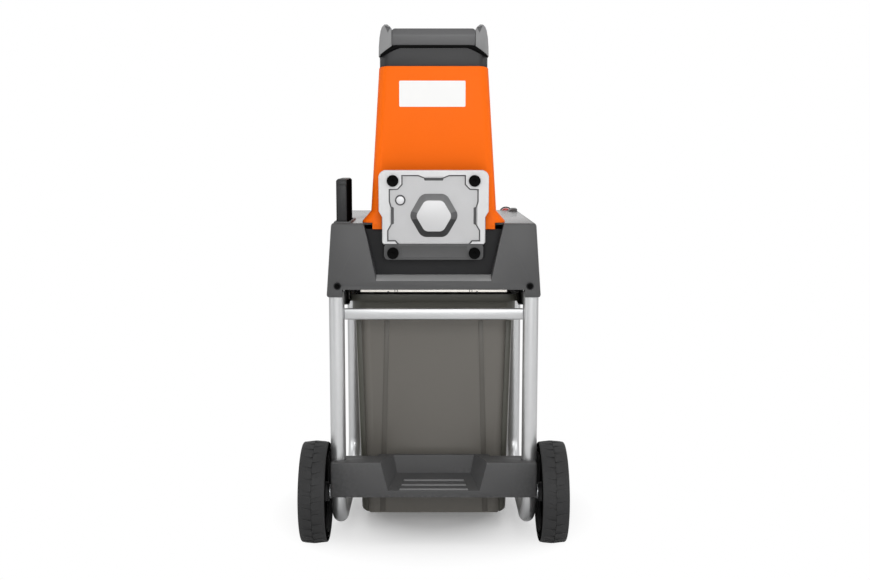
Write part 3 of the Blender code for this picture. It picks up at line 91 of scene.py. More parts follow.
# --- finishes
@dataclass(frozen=True)
class Finish:
    """A moulded, cast or drawn surface with mottle, grain and lighter edges, partly worn and partly
    painted highlight.

    Colours are linear. Scales are repeats per metre along each axis.
    """

    name: str
    colour: Point
    roughness: float = 0.5
    metallic: float = 0.0
    mottle: float = 0.06
    mottle_scale: float = 9.0
    grain_scale: Point = (900.0, 900.0, 900.0)
    grain_depth: float = 0.00006
    grain_strength: float = 0.25
    rough_swing: float = 0.08
    # lighter convex edges: partly worn, partly painted highlight
    scuff_and_highlight: float = 0.0
    scuff_and_highlight_colour: Point = (0.3, 0.3, 0.3)
    coat: float = 0.0
    specular: float = 0.5
    dust: float = 0.0

    def material(self) -> bpy.types.Material:
        """Build the node material once and reuse it."""
        known = bpy.data.materials.get(self.name)
        if known is not None:
            return known
        made = bpy.data.materials.new(self.name)
        made.use_nodes = True
        board = Board(made)
        shader = made.node_tree.nodes["Principled BSDF"]
        for socket, value in (("Metallic", self.metallic), ("Coat Weight", self.coat),
                              ("Coat Roughness", COAT_ROUGHNESS),
                              ("Specular IOR Level", self.specular)):
            shader.inputs[socket].default_value = value
        place = board.node("ShaderNodeTexCoord").outputs["Object"]
        cloud = board.noise(place, self.mottle_scale, 4.0)
        dark = tuple(c * (1 - self.mottle) for c in self.colour)
        light = tuple(min(1.0, c * (1 + self.mottle)) for c in self.colour)
        colour = board.mix(cloud, dark, light)
        # lighten convex edges: partly worn, partly painted highlight
        if self.scuff_and_highlight > 0:
            colour = board.mix(board.edge_scuff_and_highlight(place, self.scuff_and_highlight), colour, self.scuff_and_highlight_colour)
        if self.dust > 0:
            colour = board.mix(board.dust(place, self.dust), colour, DUST_COLOUR)
        board.link(colour, shader.inputs["Base Color"])
        stretched = board.node("ShaderNodeMapping")
        stretched.inputs["Scale"].default_value = self.grain_scale
        board.link(place, stretched.inputs["Vector"])
        grain = board.noise(stretched.outputs["Vector"], 1.0, 2.0)
        swing = board.node("ShaderNodeMapRange")
        least = max(LEAST_ROUGHNESS, self.roughness - self.rough_swing)
        swing.inputs["To Min"].default_value = least
        swing.inputs["To Max"].default_value = min(1.0, self.roughness + self.rough_swing)
        board.link(grain, swing.inputs["Value"])
        board.link(swing.outputs["Result"], shader.inputs["Roughness"])
        bump = board.node("ShaderNodeBump")
        bump.inputs["Strength"].default_value = self.grain_strength
        bump.inputs["Distance"].default_value = self.grain_depth
        board.link(grain, bump.inputs["Height"])
        board.link(bump.outputs["Normal"], shader.inputs["Normal"])
        made.diffuse_color = (*self.colour, 1.0)
        return made


class Board:
    """A node tree being wired."""

    def __init__(self, owner: bpy.types.Material | bpy.types.World) -> None:
        """Open the node tree of a material or a world."""
        self.tree = owner.node_tree

    def node(self, kind: str) -> bpy.types.Node:
        """Add a node of a kind."""
        return self.tree.nodes.new(kind)

    def link(self, source: bpy.types.NodeSocket, target: bpy.types.NodeSocket) -> None:
        """Wire an output to an input."""
        self.tree.links.new(source, target)

    def noise(self, vector: bpy.types.NodeSocket, scale: float,
              detail: float) -> bpy.types.NodeSocket:
        """Add a noise texture.

        Args:
            vector: where the noise is read.
            scale: repeats per unit of the vector.
            detail: number of octaves.

        Returns:
            The factor output.
        """
        texture = self.node("ShaderNodeTexNoise")
        texture.inputs["Scale"].default_value = scale
        texture.inputs["Detail"].default_value = detail
        self.link(vector, texture.inputs["Vector"])
        return texture.outputs["Fac"]

    def mix(self, factor: bpy.types.NodeSocket, first: object,
            second: object) -> bpy.types.NodeSocket:
        """Mix two colours, each a linear colour or an output.

        Args:
            factor: 0 for the first, 1 for the second.
            first: a colour or an output.
            second: a colour or an output.

        Returns:
            The mixed colour.
        """
        mixer = self.node("ShaderNodeMix")
        mixer.data_type = "RGBA"
        self.link(factor, mixer.inputs["Factor"])
        for name, value in (("A", first), ("B", second)):
            socket = next(s for s in mixer.inputs if s.name == name and s.type == "RGBA")
            if isinstance(value, tuple):
                socket.default_value = (*value, 1.0)
            else:
                self.link(value, socket)
        return next(s for s in mixer.outputs if s.type == "RGBA")

    def product(self, first: bpy.types.NodeSocket, second: object) -> bpy.types.NodeSocket:
        """Multiply an output by an output or a number."""
        maths = self.node("ShaderNodeMath")
        maths.operation = "MULTIPLY"
        maths.use_clamp = True
        self.link(first, maths.inputs[0])
        if isinstance(second, float):
            maths.inputs[1].default_value = second
        else:
            self.link(second, maths.inputs[1])
        return maths.outputs["Value"]

    def between(self, value: bpy.types.NodeSocket, low: float,
                high: float) -> bpy.types.NodeSocket:
        """Spread a value from low..high to 0..1, clamped."""
        spread = self.node("ShaderNodeMapRange")
        spread.inputs["From Min"].default_value = low
        spread.inputs["From Max"].default_value = high
        self.link(value, spread.inputs["Value"])
        return spread.outputs["Result"]

    def edge_scuff_and_highlight(self, place: bpy.types.NodeSocket, amount: float) -> bpy.types.NodeSocket:
        """Broken-up lightening of convex edges, partly worn and partly painted highlight, 0 to
        amount.
        """
        shape = self.node("ShaderNodeNewGeometry")
        edge = self.between(shape.outputs["Pointiness"], *SCUFF_AND_HIGHLIGHT_EDGE)
        rough = self.between(self.noise(place, SCUFF_AND_HIGHLIGHT_SCALE, 4.0), *SCUFF_AND_HIGHLIGHT_BREAKS)
        return self.product(self.product(edge, rough), amount)

    def dust(self, place: bpy.types.NodeSocket, amount: float) -> bpy.types.NodeSocket:
        """Faint dust on faces that look up, 0 to amount."""
        shape = self.node("ShaderNodeNewGeometry")
        split = self.node("ShaderNodeSeparateXYZ")
        self.link(shape.outputs["Normal"], split.inputs["Vector"])
        up = self.between(split.outputs["Z"], *DUST_SLOPE)
        patch = self.between(self.noise(place, DUST_SCALE, 5.0), *DUST_PATCH)
        return self.product(self.product(up, patch), amount)


@dataclass(frozen=True)
class Moulding(Finish):
    """Moulded plastic with a faint mottle."""

    roughness: float = 0.42
    mottle: float = 0.05
    grain_strength: float = 0.3
    specular: float = 0.35


@dataclass(frozen=True)
class Casting(Finish):
    """Cast light metal with an open grain."""

    roughness: float = 0.52
    metallic: float = 0.35
    mottle_scale: float = 30.0
    grain_scale: Point = (650.0, 650.0, 650.0)
    grain_strength: float = 0.5
    specular: float = 0.3


ORANGE = Moulding("orange_shell", (0.9, 0.14, 0.002), 0.46, mottle=0.03, mottle_scale=5.0,
                  grain_scale=(1500.0, 1500.0, 1500.0), grain_strength=0.18, scuff_and_highlight=0.1,
                  scuff_and_highlight_colour=(0.98, 0.28, 0.05), specular=0.1)
SHROUD_GREY = Moulding("shroud_grey", (0.066, 0.066, 0.067), 0.46, grain_strength=0.35)
# glossier finish for the shroud's up-facing tops, with a lighter tone as painted highlight
GLOSSY_LIT_TOP = Moulding("glossy_top_painted_highlight", (0.075, 0.075, 0.076), 0.24, mottle=0.04, grain_strength=0.1,
                     rough_swing=0.04, coat=0.15, specular=0.8)
# painted highlight: a lighter grey on the rounded edges of the shroud's cut-out cheeks and of the
# collar's slot
EDGE_HIGHLIGHT = Moulding("shroud_painted_highlight", (0.15, 0.15, 0.152), 0.38, mottle=0.06, specular=0.4)
# painted highlight: a much lighter grey for the cut-out's sloped sill
SILL_HIGHLIGHT = Moulding("sill_painted_highlight", (0.3, 0.3, 0.301), 0.36, specular=0.5)
# its lighter convex edges are partly worn and partly painted highlight
STEP_GREY = Moulding("step_grey", (0.062, 0.062, 0.063), 0.5, mottle=0.08, grain_strength=0.4,
                     scuff_and_highlight=0.3, scuff_and_highlight_colour=(0.16, 0.16, 0.16), specular=0.3, dust=0.04)
# painted highlight: a lighter copy of the step's grey for the pocket's rounded edges and the ridges
STEP_HIGHLIGHT = Moulding("step_painted_highlight", (0.125, 0.125, 0.126), mottle=0.06)
RIM_GREY = Moulding("rim_grey", (0.165, 0.166, 0.168), 0.44, scuff_and_highlight=0.2)
# painted light: a lighter copy of the rim's grey for the upward-facing rear corners
CORNER_LIT = Moulding("corner_painted_light", (0.2, 0.201, 0.203), 0.4, specular=0.4)
COLLAR_GREY = Moulding("collar_grey", (0.019, 0.019, 0.02), specular=0.3)
LEVER_GREY = Moulding("lever_black", (0.02, 0.02, 0.021), mottle=0.08, scuff_and_highlight=0.25,
                      scuff_and_highlight_colour=(0.09, 0.09, 0.09), specular=0.25)
# painted shade: a near-black copy of the lever's grey for its side faces
LEVER_SHADE = Moulding("lever_painted_shade", (0.003, 0.003, 0.003), 0.9, mottle=0.1, specular=0.0)
BLACK_PLASTIC = Moulding("satin_black", (0.01, 0.01, 0.011), mottle=0.1, grain_strength=0.25,
                         specular=0.25)
HUB_GREY = Moulding("hub_grey", (0.022, 0.022, 0.0225), 0.5, mottle=0.08, specular=0.15)
TYRE = Finish("tread_rubber", (0.027, 0.027, 0.0275), 0.6, mottle=0.25, mottle_scale=22.0,
              grain_scale=(700.0, 700.0, 700.0), grain_strength=0.6, scuff_and_highlight=0.25,
              scuff_and_highlight_colour=(0.09, 0.09, 0.092), specular=0.22)
# painted shade: a near-black copy of the rubber for the tyre's side faces
TYRE_SIDE_SHADE = Finish("sidewall_painted_shade", (0.003, 0.003, 0.003), 0.8, mottle=0.2, mottle_scale=22.0,
                  grain_strength=0.4, specular=0.0)
FOOT_RUBBER = Finish("pad_rubber", (0.014, 0.014, 0.014), 0.85, mottle=0.2, grain_strength=0.5,
                     specular=0.2)
SMOKE = Moulding("bin_smoke", (0.138, 0.13, 0.116), 0.34, mottle=0.07, mottle_scale=6.0,
                 grain_scale=(500.0, 500.0, 500.0), grain_strength=0.12, scuff_and_highlight=0.15,
                 scuff_and_highlight_colour=(0.3, 0.29, 0.27))
TUBE = Finish("tube_aluminium", (0.6, 0.605, 0.61), 0.34, metallic=0.85, mottle=0.03,
              grain_scale=(900.0, 900.0, 14.0), grain_strength=0.2, rough_swing=0.1)
BAR = Finish("bar_aluminium", (0.53, 0.535, 0.54), 0.36, metallic=0.8, mottle=0.03,
             grain_scale=(14.0, 900.0, 900.0), grain_strength=0.2, rough_swing=0.1)
CAST = Casting("cast_aluminium", (0.53, 0.53, 0.535), 0.46, metallic=0.4, mottle=0.04,
               mottle_scale=26.0, scuff_and_highlight=0.15, scuff_and_highlight_colour=(0.8, 0.8, 0.8), specular=0.5)
# painted shade: a darker copy of the cast grey for the sunk panel's floor
PANEL_SHADE = Casting("panel_painted_shade", (0.45, 0.45, 0.455), 0.48, mottle=0.05, grain_strength=0.6,
                     specular=0.5)
# painted shade: a dark copy of the cast grey for the panel's walls, the boss's middle sides and the
# pin's seat
CAST_SHADE = Casting("painted_cast_shade", (0.115, 0.115, 0.117), mottle=0.12, mottle_scale=40.0,
                    grain_strength=0.6)
STRIP = Finish("zinc_strip", (0.72, 0.69, 0.64), 0.38, metallic=0.6, mottle=0.1, mottle_scale=40.0,
               grain_strength=0.2)
STEEL = Finish("machined_steel", (0.48, 0.49, 0.5), 0.32, metallic=1.0,
               grain_scale=(400.0, 60.0, 400.0), grain_strength=0.3)
DARK_STEEL = Finish("hardened_steel", (0.2, 0.205, 0.21), 0.4, metallic=1.0, mottle=0.15,
                    mottle_scale=60.0, scuff_and_highlight=0.6, scuff_and_highlight_colour=(0.55, 0.55, 0.56))
BOLT_BLACK = Finish("bolt_black", (0.002, 0.002, 0.002), 0.45, mottle=0.2, grain_strength=0.2,
                    specular=0.03)
# painted light and shade: lit and dim copies of the cast grey for the boss's upper and lower sides
WALL_LIT = Casting("boss_wall_painted_light", (0.2, 0.2, 0.202), mottle=0.1, mottle_scale=40.0,
                   grain_strength=0.25)
WALL_DIM = Casting("boss_wall_painted_shade", (0.052, 0.052, 0.053), 0.55, metallic=0.3, mottle=0.1,
                   mottle_scale=40.0, grain_strength=0.25, specular=0.2)
COPPER = Finish("enamelled_wire", (0.52, 0.23, 0.1), 0.38, metallic=0.9, mottle=0.2,
                grain_scale=(1200.0, 40.0, 1200.0), grain_strength=0.7)
RED = Moulding("stop_red", (0.55, 0.022, 0.015), 0.34, mottle=0.04, grain_strength=0.15,
               specular=0.5)
GREEN = Moulding("start_green", (0.03, 0.27, 0.06), 0.34, mottle=0.04, grain_strength=0.15,
                 specular=0.5)
LIP_GREY = Casting("cast_dark", (0.078, 0.078, 0.079), metallic=0.2, mottle=0.08)
HOUSING_DARK = Finish("housing_dark", (0.012, 0.012, 0.013), 0.6, mottle=0.15, mottle_scale=30.0,
                      grain_strength=0.5, specular=0.1)
APRON_GREY = Moulding("apron_grey", (0.02, 0.02, 0.021), 0.55, mottle=0.1, specular=0.15)
BRIGHT_CAST = Finish("pin_bright", (0.62, 0.62, 0.63), 0.4, metallic=0.3, mottle=0.03)
BAR_GREY = Moulding("bar_grey", (0.098, 0.098, 0.1))
BAR_SHINE = Moulding("bar_crease", (0.092, 0.092, 0.094), 0.36, specular=0.4)
SMOKE_DARK = Moulding("bin_smoke_ribs", (0.092, 0.086, 0.076), 0.36, mottle=0.06,
                      grain_strength=0.12)
# painted shade: a darker smoke for the rim under the shroud and the outer bands at the corners
SMOKE_SHADE = Moulding("bin_smoke_painted_shade", (0.062, 0.061, 0.05), 0.36, mottle=0.06,
                      grain_strength=0.12)
RAIL_BLACK = Moulding("rail_black", (0.012, 0.012, 0.013), 0.3, mottle=0.1, grain_strength=0.2,
                      specular=0.3)
LABEL = Finish("label_white", (0.84, 0.84, 0.83), 0.45, mottle=0.02, mottle_scale=30.0,
               grain_strength=0.08, specular=0.3)


# --- modelling
def anywhere(_point: Vector) -> bool:
    """Pick every place."""
    return True


class Bench:
    """One mesh, shaped with edit-mode operators as at a workbench."""

    def __init__(self, obj: bpy.types.Object) -> None:
        """Take a mesh object in hand."""
        self.obj = obj

    @staticmethod
    def clear() -> None:
        """Leave edit mode and deselect everything."""
        if bpy.context.object is not None and bpy.context.object.mode != "OBJECT":
            bpy.ops.object.mode_set(mode="OBJECT")
        bpy.ops.object.select_all(action="DESELECT")

    def hold(self) -> "Bench":
        """Leave edit mode with this mesh alone selected and active."""
        self.clear()
        self.obj.select_set(True)
        bpy.context.view_layer.objects.active = self.obj
        return self

    @classmethod
    def block(cls, name: str, low: Point, high: Point) -> "Bench":
        """Start from a block between its lowest and its highest corner."""
        cls.clear()
        bpy.ops.mesh.primitive_cube_add(size=1.0,
                                        location=[(a + b) / 2 for a, b in zip(low, high)],
                                        scale=[b - a for a, b in zip(low, high)])
        return cls._named(name)

    @classmethod
    def disc(cls, name: str, centre: Point, axis: Point, radius: float, length: float,
             sides: int = 48) -> "Bench":
        """Start from a round or many-sided block.

        Args:
            name: the piece's name.
            centre: its middle.
            axis: the direction of its axis.
            radius: its radius at the corners.
            length: its length along the axis.
            sides: number of sides.

        Returns:
            The bench holding the disc.
        """
        cls.clear()
        turn = Vector(axis).to_track_quat("Z", "Y").to_euler()
        bpy.ops.mesh.primitive_cylinder_add(vertices=sides, radius=radius, depth=length,
                                            location=centre, rotation=turn)
        return cls._named(name)

    @classmethod
    def prism(cls, name: str, outline: Outline, rear: float, front: float) -> "Bench":
        """Start from an upright outline drawn along Y.

        Args:
            name: the piece's name.
            outline: its corners, x and z, in order round it.
            rear: where its face towards the wheels lies.
            front: where its other face lies.

        Returns:
            The bench holding the prism.
        """
        cls.clear()
        bpy.ops.mesh.primitive_circle_add(vertices=len(outline), radius=1.0, fill_type="NGON")
        bench = cls._named(name)
        for point, (x, z) in zip(bench.obj.data.vertices, outline):
            point.co = (x, rear, z)
        bench.faces().extrude((0, front - rear, 0))
        return bench.even_normals()

    @classmethod
    def slab(cls, name: str, half: Outline, rear: float, front: float) -> "Bench":
        """Start from a prism that is the same on both sides of the centre line."""
        whole = list(half) + [(-x, z) for x, z in reversed(half)]
        return cls.prism(name, whole, rear, front)

    @classmethod
    def loop(cls, name: str, centre: Point, radius: float, sides: int) -> "Bench":
        """Start from a level, open ring of edges."""
        cls.clear()
        bpy.ops.mesh.primitive_circle_add(vertices=sides, radius=radius, location=centre)
        return cls._named(name)

    @classmethod
    def copy_of(cls, name: str, node: str) -> "Bench":
        """Start from a merged copy of a CAD node with its flat faces made whole.

        Args:
            name: the piece's name.
            node: the CAD node.

        Returns:
            The bench holding the copy.
        """
        made = bpy.data.objects.new(name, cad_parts[node].data.copy())
        bpy.context.scene.collection.objects.link(made)
        bench = cls(made).hold()
        if made.data.has_custom_normals:
            bpy.ops.mesh.customdata_custom_splitnormals_clear()
        bench.edit()
        bpy.ops.mesh.select_all(action="SELECT")
        bpy.ops.mesh.remove_doubles(threshold=MERGE_REACH)
        bpy.ops.mesh.dissolve_limited(angle_limit=math.radians(FLAT_ANGLE))
        made.data.materials.clear()
        return bench.hold()

    @classmethod
    def _named(cls, name: str) -> "Bench":
        """Name the new primitive and freeze its place into its mesh."""
        bpy.ops.object.transform_apply(location=True, rotation=True, scale=True)
        made = bpy.context.object
        made.name = made.data.name = name
        return cls(made)

    def edit(self) -> None:
        """Enter edit mode on this mesh alone."""
        if self.obj.mode != "EDIT":
            self.hold()
            bpy.ops.object.mode_set(mode="EDIT")

    def _select(self, kind: str, good: Callable[[Any], bool]) -> "Bench":
        """Select what passes a test, and nothing else.

        Args:
            kind: the select mode, FACE, EDGE or VERT.
            good: the test.

        Returns:
            This bench.
        """
        self.edit()
        bpy.ops.mesh.select_mode(type=kind)
        bpy.ops.mesh.select_all(action="DESELECT")
        shape = bmesh.from_edit_mesh(self.obj.data)
        parts = {"FACE": shape.faces, "EDGE": shape.edges, "VERT": shape.verts}[kind]
        for part in parts:
            if good(part):
                part.select_set(True)
        shape.select_flush_mode()
        bmesh.update_edit_mesh(self.obj.data)
        return self

    def faces(self, pick: Pick = anywhere, facing: Point | None = None,
              within: float = 0.98) -> "Bench":
        """Select faces by their middle and normal.

        Args:
            pick: keeps a face by its middle.
            facing: a direction that the normal shares, or any.
            within: the least cosine between the normal and that direction.

        Returns:
            This bench.
        """
        way = None if facing is None else Vector(facing).normalized()
        return self._select("FACE", lambda face:
                            (way is None or face.normal.dot(way) > within)
                            and pick(face.calc_center_median()))

    def edges(self, pick: Pick = anywhere, sharper: float = 0.0) -> "Bench":
        """Select edges by their middle and how sharply their faces meet, in degrees."""
        return self._select("EDGE", lambda edge:
                            (not sharper or edge.calc_face_angle(0.0) > math.radians(sharper))
                            and pick((edge.verts[0].co + edge.verts[1].co) / 2))

    def points(self, pick: Pick = anywhere) -> "Bench":
        """Select points by their place."""
        return self._select("VERT", lambda point: pick(point.co))

    def extrude(self, way: Point) -> "Bench":
        """Extrude what is selected by a vector."""
        bpy.ops.mesh.extrude_region_move(TRANSFORM_OT_translate={"value": way})
        return self

    def move(self, way: Point) -> "Bench":
        """Move what is selected by a vector."""
        bpy.ops.transform.translate(value=way)
        return self

    def scale(self, share: Point, centre: Point) -> "Bench":
        """Scale what is selected about a point."""
        bpy.ops.transform.resize(value=share, center_override=centre)
        return self

    def turn(self, degrees: float, axis: str, centre: Point) -> "Bench":
        """Turn what is selected about an axis through a point."""
        bpy.ops.transform.rotate(value=math.radians(degrees), orient_axis=axis,
                                 center_override=centre)
        return self

    def inset(self, width: float, depth: float = 0.0) -> "Bench":
        """Inset the selected faces, sinking them when depth is negative."""
        bpy.ops.mesh.inset(thickness=width, depth=depth, use_even_offset=True)
        return self

    def bevel(self, width: float, segments: int = 2) -> "Bench":
        """Round the selected edges."""
        bpy.ops.mesh.bevel(offset=width, segments=segments, affect="EDGES",
                           clamp_overlap=True)
        return self

    def spin(self, centre: Point, axis: Point, degrees: float, steps: int) -> "Bench":
        """Sweep what is selected round an axis."""
        bpy.ops.mesh.spin(steps=steps, angle=math.radians(degrees), center=centre, axis=axis)
        return self

    def cut(self, point: Point, normal: Point) -> "Bench":
        """Cut all the faces along a plane, keeping both sides."""
        self.faces()
        bpy.ops.mesh.bisect(plane_co=point, plane_no=normal)
        return self

    def trim(self, point: Point, normal: Point) -> "Bench":
        """Cut off what lies beyond a plane, on the side its normal points to, and cap it."""
        self.faces()
        bpy.ops.mesh.bisect(plane_co=point, plane_no=normal, clear_outer=True, use_fill=True)
        return self

    def even_normals(self) -> "Bench":
        """Merge doubles and turn every face outwards."""
        self.faces()
        bpy.ops.mesh.remove_doubles(threshold=MERGE_REACH)
        bpy.ops.mesh.normals_make_consistent(inside=False)
        return self

    def _apply(self, kind: str, **settings: object) -> "Bench":
        """Put a modifier on the mesh and apply it.

        Args:
            kind: the modifier's type.
            settings: its properties.

        Returns:
            This bench.
        """
        self.hold()
        modifier = self.obj.modifiers.new(kind, kind)
        for name, value in settings.items():
            setattr(modifier, name, value)
        bpy.ops.object.modifier_apply(modifier=modifier.name)
        return self

    def carve(self, tools: Iterable["Bench"]) -> "Bench":
        """Cut by other meshes, which are used up."""
        for tool in tools:
            self._apply("BOOLEAN", operation="DIFFERENCE", object=tool.obj, solver="EXACT")
            bpy.data.objects.remove(tool.obj)
        return self

    def soften(self, width: float, segments: int = 2, angle: float = 30.0) -> "Bench":
        """Round the edges that are sharper than an angle in degrees."""
        return self._apply("BEVEL", width=width, segments=segments, limit_method="ANGLE",
                           angle_limit=math.radians(angle), use_clamp_overlap=True)

    def thicken(self, wall: float) -> "Bench":
        """Give an open surface a wall on its inner side."""
        return self._apply("SOLIDIFY", thickness=wall, offset=-1.0, use_even_offset=True)

    def round_x(self, centre: Vector, count: int, stagger: float = 0.0) -> list["Bench"]:
        """Use the mesh up for copies set evenly round an axis along X.

        Args:
            centre: a point of the axis.
            count: number of copies, each with its own mesh.
            stagger: share of a step that the first one is turned by.

        Returns:
            The copies.
        """
        self.hold()
        made = []
        for number in range(count):
            twin = bpy.data.objects.new(self.obj.name, self.obj.data.copy())
            bpy.context.scene.collection.objects.link(twin)
            turn = Matrix.Rotation(2 * math.pi / count * (number + stagger), 4, "X")
            twin.data.transform(Matrix.Translation(centre) @ turn @ Matrix.Translation(-centre))
            made.append(Bench(twin))
        bpy.data.objects.remove(self.obj)
        return made

    def gather(self, others: Iterable["Bench"]) -> "Bench":
        """Join other meshes to this one as they are."""
        self.hold()
        for other in others:
            other.obj.select_set(True)
        bpy.ops.object.join()
        return self

    def show(self, finish: Finish, body: str, slot: str, replaces: Sequence[str] = (),
             smooth: float = 32.0, trims: Trims = ()) -> None:
        """Finish the piece: shade it, dress it and set what it rides on.

        Args:
            finish: its surface.
            body: the body it moves with.
            slot: the record's material slot; not used.
            replaces: CAD nodes it stands for.
            smooth: faces meeting at less than this shade as one, in degrees.
            trims: other finishes, each with a test of the faces that take it.
        """
        self.hold()
        bpy.ops.object.shade_smooth_by_angle(angle=math.radians(smooth))
        data = self.obj.data
        data.materials.clear()
        data.materials.append(finish.material())
        for number, (other, pick) in enumerate(trims, start=1):
            data.materials.append(other.material())
            for face in data.polygons:
                if pick(face.center, face.normal):
                    face.material_index = number
        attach(self.obj, body)
        if replaces:
            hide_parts(*replaces)
        self.clear()
        LOG.info("%s: %d faces on %s", self.obj.name, len(data.polygons), body)


def show_together(pieces: Sequence[Bench], finish: Finish, body: str, slot: str,
                  trims: Trims = ()) -> None:
    """Join pieces into the first of them and show it.

    Args:
        pieces: the pieces.
        finish: their surface.
        body: the body they move with.
        slot: the record's material slot.
        trims: other finishes, each with a test of the faces that take it.
    """
    pieces[0].gather(pieces[1:]).show(finish, body, slot, trims=trims)


def dress(finish: Finish, *nodes: str) -> None:
    """Give CAD nodes that stay in view a finish."""
    for node in nodes:
        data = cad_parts[node].data
        data.materials.clear()
        data.materials.append(finish.material())
        LOG.info("%s: dressed in %s", node, finish.name)


def refine(name: str, node: str, finish: Finish, body: str, slot: str, width: float,
           segments: int = 2, angle: float = 35.0, trims: Trims = ()) -> None:
    """Show a CAD node as a merged copy with rounded edges.

    Args:
        name: the piece's name.
        node: the CAD node it stands for.
        finish: its surface.
        body: the body it rides on.
        slot: the record's material slot.
        width: the rounding of its edges.
        segments: steps across the rounding.
        angle: edges sharper than this are rounded, in degrees.
        trims: other finishes, each with a test of the faces that take it.
    """
    bench = Bench.copy_of(name, node).soften(width, segments, angle)
    bench.show(finish, body, slot, (node,), trims=trims)


# --- studio
@dataclass
class Studio:
    """Floor, soft lamps, world and the camera behind the wheels."""

    eye: Point = (0.0025, -2.2696, 0.7625)
    tilt_down: float = 7.2
    lens: float = 44.73
    floor_size: float = 30.0
    floor_lift: float = 0.16
    near_floor: float = 0.12
    far_floor: float = 0.35
    floor_colour: tuple[float, ...] = (0.92, 0.92, 0.92, 1.0)
    dim_world: float = 0.42
    glossy_world: float = 0.8
    lamps: tuple[tuple[str, Point, Point, tuple[float, float], float], ...] = (
        ("key", (0.25, -2.9, 1.45), (0.0, 0.0, 0.5), (2.6, 1.6), 40.0),
        ("left", (-2.6, -0.9, 1.3), (0.0, 0.0, 0.5), (1.6, 2.0), 14.0),
        ("right", (2.6, -0.9, 1.3), (0.0, 0.0, 0.5), (1.6, 2.0), 14.0),
        ("top", (0.0, 0.3, 3.2), (0.0, 0.0, 0.4), (2.4, 2.4), 24.0))

    def build(self) -> None:
        """Make the camera, the floor, the world and the lamps."""
        scene = bpy.context.scene
        scene.view_settings.view_transform = "Standard"
        self.camera(scene)
        self.floor()
        self.world(scene)
        for lamp in self.lamps:
            self.lamp(*lamp)

    def camera(self, scene: bpy.types.Scene) -> None:
        """Stand the camera on the centre line, behind the wheels."""
        data = bpy.data.cameras.new("camera")
        data.lens = self.lens
        data.sensor_width = 36.0
        data.clip_end = 60.0
        made = bpy.data.objects.new("camera", data)
        made.location = self.eye
        made.rotation_euler = (math.radians(90.0 - self.tilt_down), 0.0, 0.0)
        scene.collection.objects.link(made)
        scene.camera = made

    def floor(self) -> None:
        """Lay a wide pale floor that keeps the machine's shadow."""
        Bench.clear()
        bpy.ops.mesh.primitive_plane_add(size=self.floor_size, location=(0.0, 0.0, 0.0))
        made = bpy.context.object
        made.name = "floor"
        material = bpy.data.materials.new("floor_white")
        material.use_nodes = True
        board = Board(material)
        board.tree.nodes.clear()
        out = board.node("ShaderNodeOutputMaterial")
        matt = board.node("ShaderNodeBsdfDiffuse")
        matt.inputs["Color"].default_value = self.floor_colour
        glow = board.node("ShaderNodeEmission")
        path = board.node("ShaderNodeLightPath")
        seen = board.product(path.outputs["Is Camera Ray"], self.floor_lift)
        board.link(seen, glow.inputs["Strength"])
        both = board.node("ShaderNodeAddShader")
        board.link(matt.outputs[0], both.inputs[0])
        board.link(glow.outputs[0], both.inputs[1])
        white = board.node("ShaderNodeEmission")
        length = board.node("ShaderNodeVectorMath")
        length.operation = "LENGTH"
        board.link(board.node("ShaderNodeTexCoord").outputs["Object"], length.inputs[0])
        away = board.between(length.outputs["Value"], self.near_floor, self.far_floor)
        fade = board.node("ShaderNodeMixShader")
        board.link(board.product(path.outputs["Is Camera Ray"], away), fade.inputs["Fac"])
        board.link(both.outputs[0], fade.inputs[1])
        board.link(white.outputs[0], fade.inputs[2])
        board.link(fade.outputs[0], out.inputs["Surface"])
        made.data.materials.append(material)

    def world(self, scene: bpy.types.Scene) -> None:
        """Light evenly from all round, with white behind and in reflections."""
        world = bpy.data.worlds.new("studio")
        world.use_nodes = True
        scene.world = world
        board = Board(world)
        back = world.node_tree.nodes["Background"]
        path = board.node("ShaderNodeLightPath")
        back.inputs["Color"].default_value = (1.0, 1.0, 1.0, 1.0)
        rise = board.node("ShaderNodeMapRange")
        rise.inputs["To Min"].default_value = self.dim_world
        rise.inputs["To Max"].default_value = 1.0
        most = board.node("ShaderNodeMath")
        most.operation = "MAXIMUM"
        board.link(path.outputs["Is Camera Ray"], most.inputs[0])
        glossy = board.product(path.outputs["Is Glossy Ray"], self.glossy_world)
        board.link(glossy, most.inputs[1])
        board.link(most.outputs["Value"], rise.inputs["Value"])
        board.link(rise.outputs["Result"], back.inputs["Strength"])

    def lamp(self, name: str, place: Point, target: Point, size: tuple[float, float],
             power: float) -> None:
        """Hang a soft box.

        Args:
            name: the lamp's name.
            place: where it hangs.
            target: the point it faces.
            size: its width and height.
            power: its power in watts.
        """
        data = bpy.data.lights.new(name, "AREA")
        data.shape = "RECTANGLE"
        data.size, data.size_y = size
        data.energy = power
        made = bpy.data.objects.new(name, data)
        made.location = place
        way = Vector(target) - Vector(place)
        made.rotation_euler = way.to_track_quat("-Z", "Y").to_euler()
        bpy.context.scene.collection.objects.link(made)


